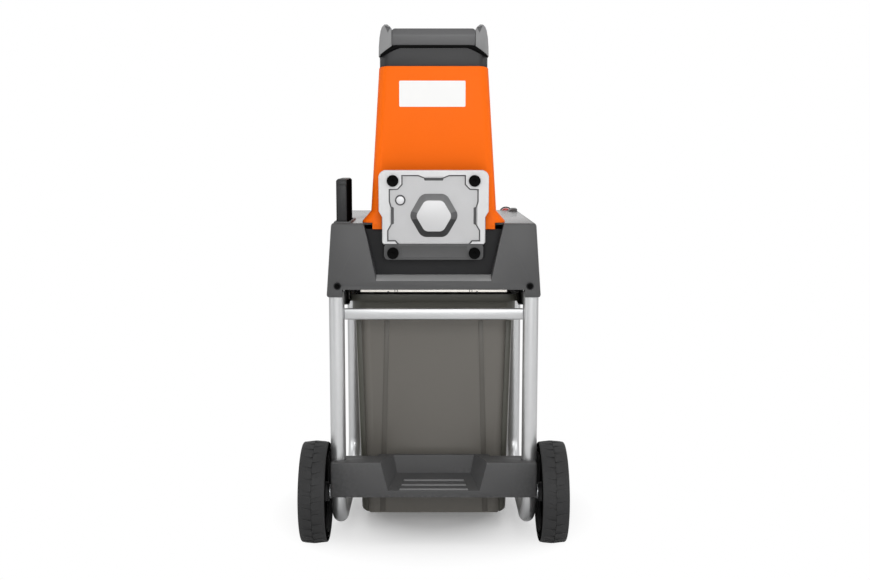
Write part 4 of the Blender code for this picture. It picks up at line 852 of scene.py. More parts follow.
# --- frame and wheels
@dataclass
class RollingFrame:
    """Two bent tubes, the flat bar between them and the rubber feet."""

    tube_radius: float = 0.015
    bend_radius: float = 0.062
    wall: float = 0.0018
    run_height: float = 0.036
    bend_steps: int = 14
    washer_radius: float = 0.0139

    def build(self) -> None:
        """Make each side's tube, foot and washer, then the bar."""
        for side in Side:
            self.tube(side)
            refine(f"{side.word}_foot", f"{side.word}_front_foot", FOOT_RUBBER, "machine",
                   "foot_rubber", 0.0022, 3)
            self.washer(side)
        bar = Bench.copy_of("rear_bar", "upper_rear_bar").soften(0.0012, 3)
        bar.show(BAR, "machine", "tube_metal", ("upper_rear_bar",))
        dress(STEEL, "axle")

    def tube(self, side: Side) -> None:
        """Draw one tube down the rear leg, along the ground and up the front leg."""
        node = f"{side.word}_frame_tube"
        low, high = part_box(node)
        x = (low.x + high.x) / 2
        rear, front = low.y + self.tube_radius, high.y - self.tube_radius
        top, bend, radius = high.z, self.run_height + self.bend_radius, self.bend_radius
        tube = Bench.loop(f"{side.word}_leg_tube", (x, rear, top), self.tube_radius, 32)
        tube.points().extrude((0, 0, bend - top))
        tube.spin((x, rear + radius, bend), (-1, 0, 0), 90, self.bend_steps)
        tube.extrude((0, front - rear - 2 * radius, 0))
        tube.spin((x, front - radius, bend), (-1, 0, 0), 90, self.bend_steps)
        tube.extrude((0, 0, top - bend))
        tube.even_normals().thicken(self.wall)
        tube.show(TUBE, "machine", "tube_metal", (node,), 50)

    def washer(self, side: Side) -> None:
        """Turn the washer between a leg and its wheel."""
        low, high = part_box(f"{side.word}_washer")
        middle = (low + high) / 2
        ring = Bench.disc(f"{side.word}_axle_washer", middle, ALONG_X, self.washer_radius,
                          high.x - low.x - 0.0002, 40)
        for way in (-1, 1):
            ring.faces(facing=(way, 0, 0)).inset(0.006, -0.0006)
        ring.soften(0.0003, 2)
        ring.show(STEEL, "machine", "steel", (f"{side.word}_washer",))


@dataclass
class Wheel:
    """One wheel: a lugged tyre on a spoked hub with a cap."""

    side: Side
    radius: float = 0.0998
    carcass_radius: float = 0.0976
    shoulder: float = 0.0035
    lug_count: int = 26
    lug_length: float = 0.0150
    lug_depth: float = 0.0062
    lug_skew: float = 0.0045
    lug_drop: float = 0.0022
    rib_half: float = 0.0018
    spoke_count: int = 6

    def build(self) -> None:
        """Make the tyre, the hub and the cap."""
        word, body = self.side.word, f"{self.side.word}_wheel"
        low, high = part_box(f"{word}_tyre")
        self.middle = (low + high) / 2
        self.half = (high.x - low.x) / 2
        self.tyre(word, body)
        self.hub(word, body)
        cap = Bench.copy_of(f"{word}_axle_cap", f"{word}_hub_cap").soften(0.0006, 2)
        cap.show(BLACK_PLASTIC, body, "black_plastic", (f"{word}_hub_cap",))

    def tyre(self, word: str, body: str) -> None:
        """Shape the carcass, grooved on both sides, and set two staggered rows of lugs; the side
        faces take painted shade.
        """
        width = 2 * self.half - 0.001
        carcass = Bench.disc(f"{word}_lugged_tyre", self.middle, ALONG_X, self.carcass_radius,
                             width, 104)
        for way in (-1, 1):
            carcass.faces(facing=(way, 0, 0)).inset(0.010, 0.0)
            carcass.inset(0.0006, -0.0012).inset(0.0090, 0.0012)
            carcass.inset(0.0012, -0.010)
        carcass.edges(lambda p: self.out(p) > self.carcass_radius - 0.001, 60).bevel(
            self.shoulder, 4)
        carcass.gather(self.row(-1, 0.0) + self.row(1, 0.5))
        carcass.show(TYRE, body, "tyre_rubber", (f"{word}_tyre",), 28,
                     # painted shade on the side faces
                     ((TYRE_SIDE_SHADE, lambda c, n: abs(n.x) > 0.9 and self.out(c) < 0.0965),))

    def out(self, point: Vector) -> float:
        """Distance of a point from the axle's line."""
        return math.hypot(point.y - self.middle.y, point.z - self.middle.z)

    def row(self, way: int, stagger: float) -> list[Bench]:
        """Make one row of lugs, their outer ends skewed and dropped.

        Args:
            way: -1 or 1, the half of the tread.
            stagger: share of a step that the row is turned by.

        Returns:
            The lugs, each a mesh of its own.
        """
        inner, outer = 0.0006, self.half - 0.0035
        x, y, top = self.middle.x, self.middle.y, self.middle.z + self.radius
        low_x, high_x = sorted((x + way * inner, x + way * outer))
        lug = Bench.block("lug", (low_x, y - self.lug_length / 2, top - self.lug_depth),
                          (high_x, y + self.lug_length / 2, top))
        lug.points(lambda p: (p.x - x) * way > outer - 0.002).move((0, self.lug_skew, 0))
        lug.points(lambda p: p.z > top - 0.001 and (p.x - x) * way > outer - 0.002).move(
            (-way * 0.003, 0, -self.lug_drop))
        lug.faces(facing=UPWARD, within=0.9).inset(0.0014, 0.0)
        return lug.soften(0.0008, 2, 40).round_x(self.middle, self.lug_count, stagger)

    def hub(self, word: str, body: str) -> None:
        """Refine the hub and brace its spokes with two rings of ribs."""
        hub = Bench.copy_of(f"{word}_spoked_hub", f"{word}_wheel_hub").soften(0.0010, 2)
        low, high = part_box(f"{word}_wheel_hub")
        reach = (high.z - low.z) / 2 - 0.004
        x, y, z = self.middle
        for way in (-1, 1):
            rib = Bench.block("rib", (x - self.rib_half, y - 0.004, z + 0.019),
                              (x + self.rib_half, y + 0.004, z + reach))
            rib.move((way * 0.0048, 0, 0))
            rib.points(lambda p: p.z > z + 0.04).scale((1, 1.7, 1), self.middle)
            hub.gather(rib.soften(0.0009, 2).round_x(self.middle, self.spoke_count))
        hub.show(HUB_GREY, body, "hub_plastic", (f"{word}_wheel_hub",))


@dataclass
class FootStep:
    """Crossbar moulding round the rear legs with a ribbed shelf for a foot."""

    rounding: float = 0.0032
    ridge_half: float = 0.0690
    ridge_rows: tuple[float, ...] = (-0.2245, -0.2075, -0.1885)
    shelf_rear: float = -0.232
    shelf_height: float = 0.1100
    shelf_rise: float = 0.2027
    ridge_height: float = 0.0026
    ridge_width: float = 0.0060
    pocket_half: float = 0.1085

    def build(self) -> None:
        """Round the moulding and lay the ridges on its shelf, with a painted highlight on the
        pocket's rounded edges and on the ridges.
        """
        refine("step_moulding", "foot_step", STEP_GREY, "machine", "shroud_plastic",
               self.rounding, 3, trims=((STEP_HIGHLIGHT, self.pocket_highlight),))
        show_together([self.ridge(y) for y in self.ridge_rows], STEP_HIGHLIGHT, "machine",
                      "shroud_plastic")

    def pocket_highlight(self, centre: Vector, normal: Vector) -> bool:
        """Tell whether a face is a rounded edge of the foot's pocket, which takes a painted
        highlight.
        """
        rear = abs(centre.y - self.shelf_rear) < 0.006 and abs(centre.x) < self.pocket_half
        slanted = -0.93 < normal.y < -0.25
        return rear and slanted and centre.z > self.shelf_height - 0.004

    def ridge(self, y: float) -> Bench:
        """Make one ridge across the shelf, its ends tapered."""
        run = y - self.shelf_rear
        base = self.shelf_height + run * self.shelf_rise
        half = self.ridge_half - run * 0.20
        ridge = Bench.block("step_ridges", (-half, y - self.ridge_width / 2, base - 0.001),
                            (half, y + self.ridge_width / 2, base + self.ridge_height))
        ridge.faces(facing=UPWARD).scale((0.985, 0.55, 1), (0, y, base))
        return ridge.soften(0.0008, 3)


# --- chamber cover
@dataclass
class ChamberCover:
    """Cast cover on the cutting chamber: sunk panel, hexagonal boss, pip and bolts."""

    rim_depth: float = 0.0050
    lip_setback: float = 0.0022
    boss_radius: float = 0.0475
    boss_squeeze: float = 0.998
    boss_taper: float = 0.719
    boss_tip: float = -0.2440
    boss_place: tuple[float, float] = (0.0004, 0.6462)
    bolt_out: float = 0.077
    bolt_hole_radius: float = 0.0056
    top_bolts: float = 0.7115
    low_bolts: float = 0.5754
    socket_sides: int = 6
    wall_reach: float = 0.0064
    plate_half: Outline = ((0.0930, 0.7314), (0.0985, 0.7285), (0.1012, 0.7258), (0.1038, 0.7200),
                           (0.1038, 0.6540), (0.0975, 0.6435), (0.0975, 0.5950),
                           (0.0940, 0.5916))
    panel_half: Outline = ((0.0200, 0.7177), (0.0290, 0.7212), (0.0596, 0.7212),
                           (0.0596, 0.7045), (0.0680, 0.6957), (0.0836, 0.6950),
                           (0.0836, 0.6726), (0.0812, 0.6640), (0.0812, 0.6274),
                           (0.0868, 0.6178), (0.0868, 0.5984), (0.0724, 0.5984),
                           (0.0646, 0.5880))
    lip_half: Outline = ((0.0644, 0.5915), (0.0724, 0.5981), (0.0866, 0.5981), (0.0920, 0.5912),
                         (0.0940, 0.5860), (0.0940, 0.5690), (0.0915, 0.5640), (0.0870, 0.5622))

    def build(self) -> None:
        """Make the plate, its lip, the boss, the pip's ring and the bolts."""
        self.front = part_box("chamber_cover")[1].y
        self.rear = self.front - 0.012
        self.floor = self.rear + self.rim_depth
        self.plate()
        self.lip()
        self.boss()
        self.pip()
        for side in Side:
            for row in ("top", "low"):
                self.bolt(f"{side.word}_{row}_cover_bolt")

    def plate(self) -> None:
        """Cut the panel into the plate, then set the sloped walls of its notches."""
        plate = Bench.slab("cover_plate", self.plate_half, self.rear, self.front)
        tool = Bench.slab("panel_tool", self.panel_half, self.rear - 0.01, self.floor)
        plate.carve([tool] + [self.bolt_hole(side, self.top_bolts) for side in Side])
        plate.soften(0.0012, 1, 35)
        walls = [self.wall((0.0, 0.7177), 0.0200, 0.0170, (0, -1))]
        walls += [self.wall((way * 0.0812, 0.6457), 0.0183, 0.0150, (-way, 0))
                  for way in (-1, 1)]
        plate.gather(walls)
        plate.show(CAST, "machine", "cast_metal", ("chamber_cover",), 25,
                   ((PANEL_SHADE, self.on_floor), (CAST_SHADE, self.on_wall)))

    def on_floor(self, centre: Vector, normal: Vector) -> bool:
        """Tell whether a face is the sunk floor, which takes painted shade."""
        return normal.y < -0.95 and centre.y > self.floor - 0.0005

    def on_wall(self, centre: Vector, normal: Vector) -> bool:
        """Tell whether a face is one of the panel's walls, which take painted shade."""
        inside = abs(centre.x) < 0.0885 and 0.59 < centre.z < 0.7235
        return inside and normal.y > -0.95 and centre.y < self.floor + 0.0005

    def wall(self, place: tuple[float, float], half: float, tip_half: float,
             way: tuple[int, int]) -> Bench:
        """Make one sloped wall that runs from the rim down to the floor.

        Args:
            place: x and z of the rim's edge, at the wall's middle.
            half: half its width at the rim.
            tip_half: half its width at the floor.
            way: x and z direction that it runs in.

        Returns:
            The bench holding the wall.
        """
        x, z = place
        reach, across = self.wall_reach, bool(way[0])
        ends = (-0.0006, reach)
        if across:
            low_x, high_x = sorted(x + way[0] * end for end in ends)
            low_z, high_z = z - half, z + half
        else:
            low_x, high_x = x - half, x + half
            low_z, high_z = sorted(z + way[1] * end for end in ends)
        wall = Bench.block("panel_wall", (low_x, self.rear + 0.0003, low_z),
                           (high_x, self.floor + 0.0004, high_z))

        def at_tip(point: Vector) -> bool:
            """Tell whether a point is at the end that the wall runs to."""
            return (point.x - x) * way[0] + (point.z - z) * way[1] > reach - 0.0004

        narrow = tip_half / half
        wall.points(at_tip).scale((1, 1, narrow) if across else (narrow, 1, 1), (x, 0, z))
        wall.points(lambda p: p.y < self.rear + 0.001 and at_tip(p)).move(
            (-way[0] * reach * 0.96, 0, -way[1] * reach * 0.96))
        return wall

    def bolt_hole(self, side: Side, height: float) -> Bench:
        """Make the cutter of one bolt's hole."""
        return Bench.disc("bolt_hole", (side.value * self.bolt_out, self.rear, height), ALONG_Y,
                          self.bolt_hole_radius, 0.05, 32)

    def lip(self) -> None:
        """Make the darker lip below the panel, set back, with an ear at each end."""
        rear = self.rear + self.lip_setback
        lip = Bench.slab("cover_lip", self.lip_half, rear, self.front)
        lip.carve([self.bolt_hole(side, self.low_bolts) for side in Side])
        recess = Bench.block("lip_recess", (-0.0620, rear - 0.01, 0.5662),
                             (0.0620, rear + 0.0010, 0.5872))
        lip.carve([recess]).soften(0.0010, 3)
        lip.show(LIP_GREY, "machine", "cast_metal")

    def boss(self) -> None:
        """Raise the hexagonal boss with sloped sides and rounded corners; its upper sides take
        painted light, its lower and middle sides painted shade.
        """
        length = self.floor - self.boss_tip
        place = (self.boss_place[0], self.boss_tip + length / 2, self.boss_place[1])
        boss = Bench.disc("cover_boss", place, ALONG_Y, self.boss_radius, length + 0.0008, 6)
        boss.faces().turn(30, "Y", place)
        boss.scale((self.boss_squeeze, 1, 1), place)
        boss.edges(lambda p: abs(p.y - place[1]) < 0.001).bevel(0.0092, 6)
        boss.points(lambda p: p.y < self.boss_tip + 0.0006).scale(
            (self.boss_taper, 1, self.boss_taper * 0.978), place)
        boss.soften(0.0005, 2, 25)
        boss.show(CAST, "machine", "cast_metal", (), 20,
                  # painted light on the upper sides, painted shade on the lower and middle sides
                  ((WALL_LIT, lambda c, n: n.y > -0.90 and n.z > 0.35),
                   (WALL_DIM, lambda c, n: n.y > -0.90 and n.z < -0.35),
                   (CAST_SHADE, lambda c, n: n.y > -0.90 and abs(n.z) <= 0.35)))

    def pip(self) -> None:
        """Set the round seat of the pin and its cap into the panel, the seat in painted shade."""
        low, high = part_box("pivot_pin")
        middle = (low + high) / 2
        seat = Bench.disc("pin_seat", (middle.x, self.floor - 0.0010, middle.z), ALONG_Y,
                          0.0100, 0.0024, 48)
        seat.faces(facing=REARWARD).inset(0.0022, -0.0014)
        seat.soften(0.0003, 2)
        # painted shade on the sunk seat
        seat.show(CAST_SHADE, "machine", "cast_metal")
        cap = Bench.disc("pin_cap", (middle.x, self.floor - 0.0022, middle.z), ALONG_Y, 0.0074,
                         0.0038, 48)
        cap.soften(0.0009, 3).show(BRIGHT_CAST, "machine", "steel", ("pivot_pin",))

    def bolt(self, node: str) -> None:
        """Turn a socket-head bolt: a stepped head with a six-sided socket."""
        low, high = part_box(node)
        middle = (low + high) / 2
        head = Bench.disc(f"{node}_head", (middle.x, low.y + 0.0045, middle.z), ALONG_Y,
                          (high.x - low.x) / 2 - 0.0001, 0.0088, 48)
        head.faces(facing=REARWARD).inset(0.0018, -0.0004).inset(0.0012, 0.0)
        head.inset(0.0004, -0.0008).inset(0.0014, 0.0)
        socket = Bench.disc("socket", (middle.x, low.y, middle.z), ALONG_Y, 0.0040, 0.0080,
                            self.socket_sides)
        head.carve([socket]).soften(0.0005, 2, 40)
        head.show(BOLT_BLACK, "machine", "black_steel", (node,))


# --- hopper
@dataclass
class Hopper:
    """Orange feed hopper with its blank label, dark collar, rim and pull bar."""

    label_low: Point = (-0.0650, 0.0, 0.8500)
    label_high: Point = (0.0600, 0.0, 0.8985)
    label_depth: float = 0.0006
    slot_half: float = 0.0660
    slot_height: float = 0.9585
    slot_drop: float = 0.9430
    rib_count: int = 11
    slot_end: float = 0.0975
    rib_span: float = 0.105
    rim_cut: float = -0.1650
    # a black strip of painted shade along the finger slot
    shade_strip_rear: float = -0.2014
    shade_strip_front: float = -0.1985
    recess_half: float = 0.0985
    recess_rear: float = -0.1925
    post_rear: float = -0.2012
    post_front: float = -0.1640
    shade_strip_half: Outline = ((0.0700, 0.9642), (0.0800, 0.9618), (0.0905, 0.9545),
                            (0.1000, 0.9470), (0.1000, 0.9420), (0.0900, 0.9478),
                            (0.0780, 0.9548), (0.0660, 0.9588))
    corner_half: Outline = ((0.1032, 0.9432), (0.1030, 0.9600), (0.1016, 0.9780),
                            (0.0994, 0.9905), (0.0968, 0.9975), (0.0925, 1.0018),
                            (0.0868, 1.0021), (0.0822, 0.9985), (0.0790, 0.9945),
                            (0.0790, 0.9600), (0.0900, 0.9530))
    scoop: Outline = ((0.0915, 0.9998), (0.0808, 0.9962), (0.0862, 0.9868))

    def build(self) -> None:
        """Make the shell, the label, the collar, the rim and the bar."""
        refine("hopper_shell", "hopper", ORANGE, "machine", "orange_plastic", 0.0022, 3, 28)
        self.label()
        self.collar()
        self.rim()
        self.bar()
        self.finger_recess()
        dress(BLACK_PLASTIC, "feed_throat")

    def wall_at(self) -> float:
        """Find where the rear wall's outer face lies."""
        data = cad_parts["hopper"].data
        return min(v.co.y for v in data.vertices if abs(v.co.x) < 0.09 and v.co.z > 0.70)

    def label(self) -> None:
        """Lay a bare plate with rounded corners on the rear wall."""
        rear = self.wall_at()
        low = (self.label_low[0], rear - self.label_depth, self.label_low[2])
        high = (self.label_high[0], rear + 0.0004, self.label_high[2])
        plate = Bench.block("blank_label", low, high)
        middle = (low[1] + high[1]) / 2
        plate.edges(lambda p: abs(p.y - middle) < 0.0001).bevel(0.0022, 4)
        plate.faces(facing=REARWARD).inset(0.0006, 0.0)
        plate.show(LABEL, "machine", "orange_plastic")

    def slot_tool(self) -> Bench:
        """Shape the cutter above the finger slot's curved line."""
        tool = Bench.block("slot_tool", (-0.130, -0.230, self.slot_drop), (0.130, -0.1665, 1.05))
        for x in (-self.slot_end, -self.slot_half, self.slot_half, self.slot_end):
            tool.cut((x, 0, 0), (1, 0, 0))
        rise = self.slot_height - self.slot_drop
        low = self.slot_drop + 0.0004
        tool.points(lambda p: p.z < low and abs(p.x) < self.slot_half + 0.001).move((0, 0, rise))
        tool.edges(lambda p: abs(abs(p.x) - self.slot_half) < 0.001 and p.z < 0.97 and
                   abs(p.y + 0.198) < 0.02).bevel(0.006, 4)
        return tool

    def collar(self) -> None:
        """Cut the dark collar down along the finger slot."""
        collar = Bench.copy_of("hopper_band", "hopper_collar")
        collar.carve([self.slot_tool()]).soften(0.0024, 3, 40)
        collar.show(COLLAR_GREY, "machine", "shroud_plastic", ("hopper_collar",),
                    # painted highlight on the collar's rounded edge under the slot
                    trims=((EDGE_HIGHLIGHT, self.on_slot_edge),))

    def on_slot_edge(self, centre: Vector, normal: Vector) -> bool:
        """Tell whether a face is the collar's rounded edge under the finger slot, which takes a
        painted highlight.
        """
        near = abs(centre.z - self.slot_height) < 0.004 and abs(centre.x) < self.slot_half
        return near and centre.y < -0.19 and normal.z > 0.25

    def rim(self) -> None:
        """Keep the rim in front and at the sides, make the horned rear corners and lay a black
        strip of painted shade along the finger slot.
        """
        rim = Bench.copy_of("mouth_rim", "hopper_rim")
        rim.trim((0, self.rim_cut, 0), REARWARD)
        rim.soften(0.0016, 3, 40)
        rim.show(RIM_GREY, "machine", "rim_plastic", ("hopper_rim",))
        for side in Side:
            self.corner(side)
        # painted shade: a thin black strip where the slot has only its own shade
        shade_strip = Bench.slab("finger_slot_shade_strip", self.shade_strip_half, self.shade_strip_rear,
                            self.shade_strip_front)
        shade_strip.soften(0.0003, 2)
        shade_strip.show(BOLT_BLACK, "machine", "rim_plastic")

    def corner(self, side: Side) -> None:
        """Make one rear corner: a rounded post with a peaked, scooped horn, its grey lightened as
        painted light.
        """
        way, rear, front = side.value, self.post_rear, self.post_front
        post = Bench.prism(f"{side.word}_horn", [(way * x, z) for x, z in self.corner_half],
                           rear, front)
        post.edges(lambda p: abs(p.x) > 0.094 and p.y < rear + 0.0005 and
                   0.942 < p.z < 1.0).bevel(0.0080, 5)
        post.trim((0, front - 0.012, 1.0022), (0, 0.55, 0.835))
        post.trim((way * 0.0958, rear, 1.0002), (way * 0.80, -0.25, 0.54))
        scoop = Bench.prism("scoop", [(way * x, z) for x, z in self.scoop], rear - 0.01,
                            rear + 0.0030)
        post.carve([scoop]).soften(0.0010, 2, 30)
        post.show(CORNER_LIT, "machine", "rim_plastic",
                  # painted shade: the scoop's floor takes the darker bar grey
                  trims=((BAR_GREY, lambda c, n: c.z > 0.985 and abs(c.x) < 0.0925 and
                          rear + 0.0015 < c.y < rear + 0.0045 and n.y < -0.5),))

    def bar(self) -> None:
        """Shape the pull bar with a creased rear face and rounded upper corners."""
        low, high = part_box("grip_bar")
        half, crease = 0.0787, 0.9826
        rear, front = low.y + 0.0002, high.y
        bar = Bench.block("pull_bar", (-half, rear, 0.9636), (half, front, 0.9953))
        bar.cut((0, 0, crease), UPWARD)
        bar.points(lambda p: p.y < rear + 0.001 and p.z > 0.99).move((0, 0.0035, 0))
        bar.points(lambda p: p.y < rear + 0.001 and p.z < 0.97).move((0, 0.0015, 0))
        bar.edges(lambda p: abs(abs(p.x) - half) < 0.001 and p.z > 0.994).bevel(0.0060, 3)
        bar.edges(lambda p: p.y < rear + 0.0006 and abs(p.z - crease) < 0.0005).bevel(0.0014, 3)
        bar.soften(0.0014, 3, 35)
        bar.show(BAR_GREY, "machine", "rim_plastic", ("grip_bar",), 20,
                 ((BAR_SHINE, lambda c, n: c.y < rear + 0.0012 and abs(c.x) < 0.064 and
                   abs(c.z - 0.9828) < 0.0012),))

    def finger_recess(self) -> None:
        """Set the dark ribbed recess between the bar and the collar."""
        half, rear = self.recess_half, self.recess_rear
        base, top = self.slot_drop, 0.9645
        back = Bench.block("finger_recess", (-half, rear, base), (half, -0.1700, top))
        back.edges(lambda p: abs(abs(p.x) - half) < 0.001 and p.z < base + 0.03 and
                   abs(p.y - rear) < 0.001).bevel(0.006, 4)
        pitch = self.rib_span / self.rib_count
        ribs = []
        for number in range(self.rib_count):
            x = (number - (self.rib_count - 1) / 2) * pitch
            rib = Bench.block("finger_ribs", (x - 0.0012, self.shade_strip_front, 0.9592),
                              (x + 0.0012, -0.1800, 0.9648))
            ribs.append(rib.soften(0.0006, 2))
        back.soften(0.0010, 2)
        back.show(BLACK_PLASTIC, "machine", "rim_plastic")
        show_together(ribs, COLLAR_GREY, "machine", "rim_plastic")


# --- shroud and bin
@dataclass
class Shroud:
    """Saddle over the legs with its screws, the plate under it and the bin's rails."""

    rounding: float = 0.0024
    sill_half: float = 0.112
    seat_radius: float = 0.0072
    apron_half: Outline = ((0.1312, 0.6190), (0.1105, 0.5320))
    strip_breaks: tuple[float, ...] = (-0.072, 0.071)
    strip_dots: tuple[float, ...] = (-0.087, 0.083)
    hood_height: float = 0.0060
    apron_rear: float = -0.1985
    apron_front: float = -0.1950
    apron_lean: float = 0.0065

    def build(self) -> None:
        """Round the saddle and dress what hangs from it."""
        refine("saddle_shell", "shroud", SHROUD_GREY, "machine", "shroud_plastic",
               self.rounding, 3, 38,
               # painted highlights on the sill and on the cheeks' rounded edges
               ((SILL_HIGHLIGHT, self.on_sill), (EDGE_HIGHLIGHT, self.on_cheek_edge),
                # up-facing tops: real gloss with a lighter tone as painted highlight
                (GLOSSY_LIT_TOP, lambda c, n: n.z > 0.96 and c.z > 0.629)))
        refine("chassis_sheet", "chassis_plate", STRIP, "machine", "tube_metal", 0.0005, 2)
        for side in Side:
            refine(f"{side.word}_rail", f"{side.word}_bin_rail", RAIL_BLACK, "machine",
                   "black_plastic", 0.0002, 1)
            self.screw(side)
        self.strip_marks()
        self.apron()
        self.shoulder_hood()

    def on_sill(self, centre: Vector, normal: Vector) -> bool:
        """Tell whether a face is the sloped sill of the rear cut-out, which takes a painted
        highlight.
        """
        low = abs(centre.x) < self.sill_half and 0.513 < centre.z < 0.538
        return low and centre.y < -0.19 and normal.z > 0.2

    def on_cheek_edge(self, centre: Vector, normal: Vector) -> bool:
        """Tell whether a face is the rounded edge of the cut-out's cheeks, which takes a painted
        highlight.
        """
        beside = 0.100 < abs(centre.x) < 0.142 and 0.530 < centre.z < 0.634
        return beside and centre.y < -0.214 and -0.96 < normal.y < -0.2

    def screw(self, side: Side) -> None:
        """Turn the pan-head screw with its cross recess and seat ring."""
        low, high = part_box(f"{side.word}_shroud_screw")
        x, z = (low.x + high.x) / 2, (low.z + high.z) / 2
        head = Bench.disc(f"{side.word}_panel_screw", (x, low.y + 0.0013, z), ALONG_Y, 0.0048,
                          0.0024, 32)
        head.faces(facing=REARWARD).inset(0.0014, 0.0)
        slots = [Bench.block("cross", (x - a, low.y - 0.001, z - b), (x + a, low.y + 0.0012, z + b))
                 for a, b in ((0.0026, 0.0006), (0.0006, 0.0026))]
        head.carve(slots).soften(0.0004, 2, 40)
        head.show(BOLT_BLACK, "machine", "steel", (f"{side.word}_shroud_screw",))
        seat = Bench.disc(f"{side.word}_screw_seat", (x, low.y + 0.0031, z), ALONG_Y,
                          self.seat_radius, 0.0016, 40)
        seat.faces(facing=REARWARD).inset(0.0016, 0.0).inset(0.0004, -0.0005)
        seat.soften(0.0003, 2)
        seat.show(BLACK_PLASTIC, "machine", "shroud_plastic")

    def strip_marks(self) -> None:
        """Set the joints and the rivets along the sheet's rear edge."""
        low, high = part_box("chassis_plate")
        marks = []
        for x in self.strip_breaks:
            for shift in (-0.0022, 0.0022):
                mark = Bench.block("sheet_joints", (x + shift - 0.0006, low.y - 0.0006, low.z),
                                   (x + shift + 0.0006, low.y + 0.004, high.z))
                marks.append(mark.soften(0.0002, 1))
        show_together(marks, BLACK_PLASTIC, "machine", "tube_metal")
        for number, x in enumerate(self.strip_dots):
            rivet = Bench.disc(f"sheet_rivet_{number}", (x, low.y - 0.0006, low.z - 0.0004),
                               ALONG_Y, 0.0021, 0.0022, 24)
            rivet.soften(0.0007, 3).show(BLACK_PLASTIC, "machine", "steel")

    def apron(self) -> None:
        """Stand the dark inner wall that closes the cut-out behind the cover."""
        apron = Bench.slab("inner_apron", self.apron_half, self.apron_rear, self.apron_front)
        apron.points(lambda p: p.z < 0.545).move((0, -self.apron_lean, 0))
        apron.soften(0.0008, 2)
        apron.show(APRON_GREY, "machine", "shroud_plastic")

    def shoulder_hood(self) -> None:
        """Raise the low hood at the front of the right shoulder."""
        hood = Bench.block("shoulder_hood", (0.168, 0.206, SHOULDER_TOP - 0.001),
                           (0.1905, 0.252, SHOULDER_TOP + self.hood_height))
        hood.points(lambda p: p.z > SHOULDER_TOP and p.x < 0.180).move((0.012, 0, 0))
        hood.soften(0.0014, 3)
        hood.show(SHROUD_GREY, "machine", "shroud_plastic")


@dataclass
class CollectingBin:
    """Smoked bin with flared bands down its rear wall, runners and a grip."""

    band_proud: float = 0.0007
    band_top: float = 0.4330
    band_base: float = 0.0365
    shoulder_inset: float = 0.0095
    foot_half: float = 0.130
    foot_round: float = 0.0100
    rear: float = -0.142
    taper_top: float = 0.434
    taper_run: float = 0.400
    corner_from: float = 0.15
    corner_chamfer: float = 0.0012
    runner_sides: tuple[float, float] = (0.0985, 0.1330)
    runner_ends: tuple[float, float] = (-0.1270, 0.2450)
    runner_base: float = 0.0315
    runner_top: float = 0.0352
    inner_band: tuple[float, ...] = (0.0885, 0.0980, 0.0985, 0.1105)
    outer_band: tuple[float, ...] = (0.1440, 0.1545, 0.1330, 0.1430)

    def build(self) -> None:
        """Round the tub, then add the bands, the runners and the grip; the rim under the shroud and
        the outer bands take painted shade.
        """
        tub = Bench.copy_of("bin_tub", "collecting_bin")
        tub.edges(lambda p: p.z < self.band_base and abs(p.x) > self.foot_half, 60).bevel(
            self.foot_round, 6)
        tub.soften(0.0016, 3, 30)
        tub.show(SMOKE, "bin", "bin_plastic", ("collecting_bin",),
                 trims=((SMOKE_SHADE, lambda c, n: c.z > 0.436),))
        bands = [self.band(side, *edges) for side in Side
                 for edges in (self.inner_band, self.outer_band)]
        show_together(bands, SMOKE_DARK, "bin", "bin_plastic",
                      ((SMOKE_SHADE, lambda c, n: abs(c.x) > 0.122),))
        for side in Side:
            self.runner(side)
        refine("bin_handle", "bin_grip", BLACK_PLASTIC, "bin", "black_plastic", 0.0012, 3)

    def band(self, side: Side, top_in: float, top_out: float, low_in: float,
             low_out: float) -> Bench:
        """Lay one vertical band whose width changes to the foot, the outer one's corner eased.

        Args:
            side: the side of the wall.
            top_in: its inner edge at the top.
            top_out: its outer edge at the top.
            low_in: its inner edge at the foot.
            low_out: its outer edge at the foot.

        Returns:
            The bench holding the band.
        """
        way, rear = side.value, self.rear
        x = sorted((way * top_in, way * top_out))
        band = Bench.block("bin_bands", (x[0], rear - self.band_proud, self.band_base),
                           (x[1], rear + 0.0022, self.band_top))
        shift = self.shoulder_inset * (self.taper_top - self.band_base) / self.taper_run
        foot = band.points(lambda p: p.z < self.band_base + 0.001)
        width = (low_out - low_in) / (top_out - top_in)
        middle = way * (top_in + top_out) / 2
        foot.scale((width, 1, 1), (middle, 0, 0))
        foot.move((way * (low_in + low_out) / 2 - middle, shift, 0))
        if top_out > self.corner_from:
            edge = band.points(lambda p: abs(p.x) > (0.1535 if p.z > 0.3 else 0.1425))
            edge.move((0, self.corner_chamfer, 0))
            band.edges(lambda p: p.z < self.band_base + 0.001 and
                       abs(p.x) > low_out - 0.001).bevel(self.foot_round, 6)
        return band.soften(0.0006, 2)

    def runner(self, side: Side) -> None:
        """Add the shallow runner under one side of the bin."""
        x = sorted(side.value * edge for edge in self.runner_sides)
        y, base = self.runner_ends, self.runner_base
        runner = Bench.block(f"{side.word}_bin_runner", (x[0], y[0], base),
                             (x[1], y[1], self.runner_top))
        runner.faces(facing=(0, 0, -1)).scale((0.85, 0.99, 1), (sum(x) / 2, sum(y) / 2, base))
        runner.soften(0.0010, 3).show(SMOKE_DARK, "bin", "bin_plastic")


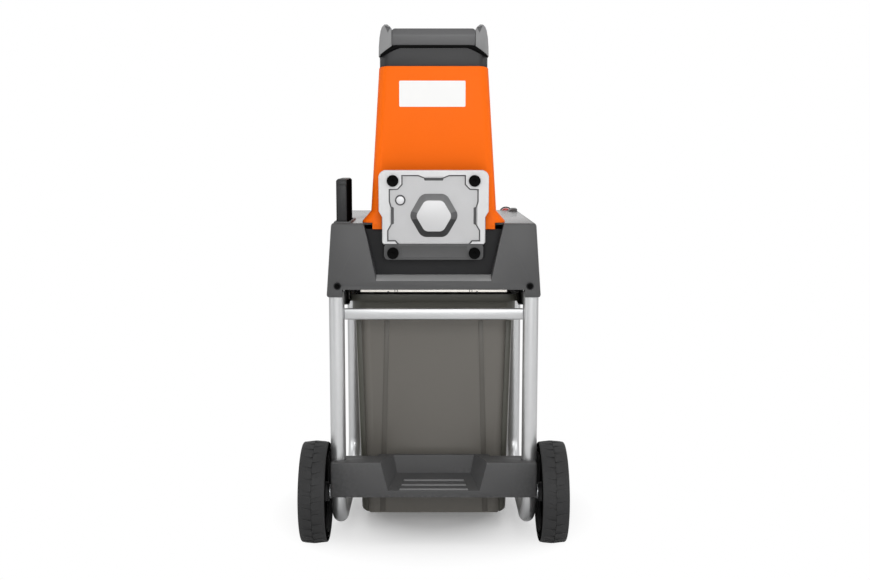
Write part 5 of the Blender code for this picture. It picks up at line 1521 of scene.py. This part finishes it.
@dataclass
class LockLever:
    """Upright lever on the left shoulder, crowned at its top and gated at its foot."""

    rounded_from: float = 0.640
    gate_room: float = 0.0012

    def build(self) -> None:
        """Round the lever, with painted shade on its sides, cap it and frame its slot on the
        shoulder.
        """
        low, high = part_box("bin_lock_lever")
        lever = Bench.copy_of("lever_body", "bin_lock_lever")
        lever.edges(lambda p: p.z > self.rounded_from, 35).bevel(0.0042, 5)
        lever.soften(0.0005, 2, 35)
        lever.show(LEVER_GREY, "lock_lever", "shroud_plastic", ("bin_lock_lever",),
                   # painted shade on the side faces
                   trims=((LEVER_SHADE, lambda c, n: abs(n.x) > 0.7),))
        crown = Bench.block("lever_crown", (low.x + 0.0022, low.y - 0.0002, high.z - 0.0125),
                            (high.x - 0.0022, low.y + 0.0020, high.z - 0.0065))
        crown.soften(0.0008, 3).show(LEVER_GREY, "lock_lever", "shroud_plastic")
        self.gate(low, high)

    def gate(self, low: Vector, high: Vector) -> None:
        """Frame the slot that the lever rises from."""
        top, room = SHOULDER_TOP, self.gate_room
        gate = Bench.block("lever_gate", (low.x - 0.0052, low.y - 0.0045, top - 0.0010),
                           (high.x + 0.0070, high.y + 0.0060, top + 0.0030))
        gate.faces(facing=UPWARD).scale(
            (0.94, 0.985, 1), ((low.x + high.x) / 2, (low.y + high.y) / 2, top))
        slot = Bench.block("gate_slot", (low.x - room, low.y - room, top - 0.02),
                           (high.x + room, high.y + room, top + 0.02))
        gate.carve([slot]).soften(0.0009, 2).show(SHROUD_GREY, "machine", "shroud_plastic")


# --- front end
@dataclass
class ControlPanel:
    """Switch box with its buttons, direction knob and inlet, and the motor's grille."""

    def build(self) -> None:
        """Round the box and refine the controls and the grille."""
        refine("control_box", "switch_box", BLACK_PLASTIC, "machine", "black_plastic", 0.0022, 4)
        refine("inlet_shroud", "power_inlet", HUB_GREY, "machine", "hub_plastic", 0.0007, 2)
        refine("motor_grille", "vent_grille", BLACK_PLASTIC, "machine", "black_plastic", 0.0007, 2)
        for node, finish, slot in (("start_button", GREEN, "green_plastic"),
                                   ("stop_button", RED, "red_plastic")):
            refine(f"{node}_cap", node, finish, node, slot, 0.0009, 3)
            self.bezel(node)
        refine("direction_knob", "direction_switch", HUB_GREY, "direction_switch", "hub_plastic",
               0.0008, 3)

    def bezel(self, node: str) -> None:
        """Ring a button with a low bezel."""
        low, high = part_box(node)
        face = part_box("switch_box")[1].y
        middle = (low + high) / 2
        radius = (high.x - low.x) / 2
        ring = Bench.disc(f"{node}_bezel", (middle.x, face + 0.0004, middle.z), ALONG_Y,
                          radius + 0.0035, 0.0020, 48)
        hole = Bench.disc("bezel_hole", (middle.x, face, middle.z), ALONG_Y, radius + 0.0006,
                          0.02, 48)
        ring.carve([hole]).soften(0.0005, 2).show(HUB_GREY, "machine", "black_plastic")


def dress_drive() -> None:
    """Dress the cutting unit and the motor, whose CAD shapes stay."""
    dress(HOUSING_DARK, "chamber_housing")
    dress(CAST, "gear_housing", "motor_housing", "motor_end_shield")
    dress(DARK_STEEL, "cutter_drum", "counter_plate")
    dress(STEEL, "cutter_shaft", "rear_cutter_bearing", "front_cutter_bearing", "drive_gear",
          "rear_motor_bearing", "front_motor_bearing", "motor_shaft", "rotor", "adjusting_screw")
    dress(COPPER, "stator")
    dress(BLACK_PLASTIC, "discharge_chute", "fan")


def main() -> None:
    """Build the studio and every sub-assembly, and report each piece."""
    logging.basicConfig(level=logging.INFO, format="%(message)s")
    for made in (Studio(), RollingFrame(), Wheel(Side.LEFT), Wheel(Side.RIGHT), FootStep(),
                 ChamberCover(), Hopper(), Shroud(), CollectingBin(), LockLever(),
                 ControlPanel()):
        made.build()
    dress_drive()


if __name__ == "__main__":
    main()
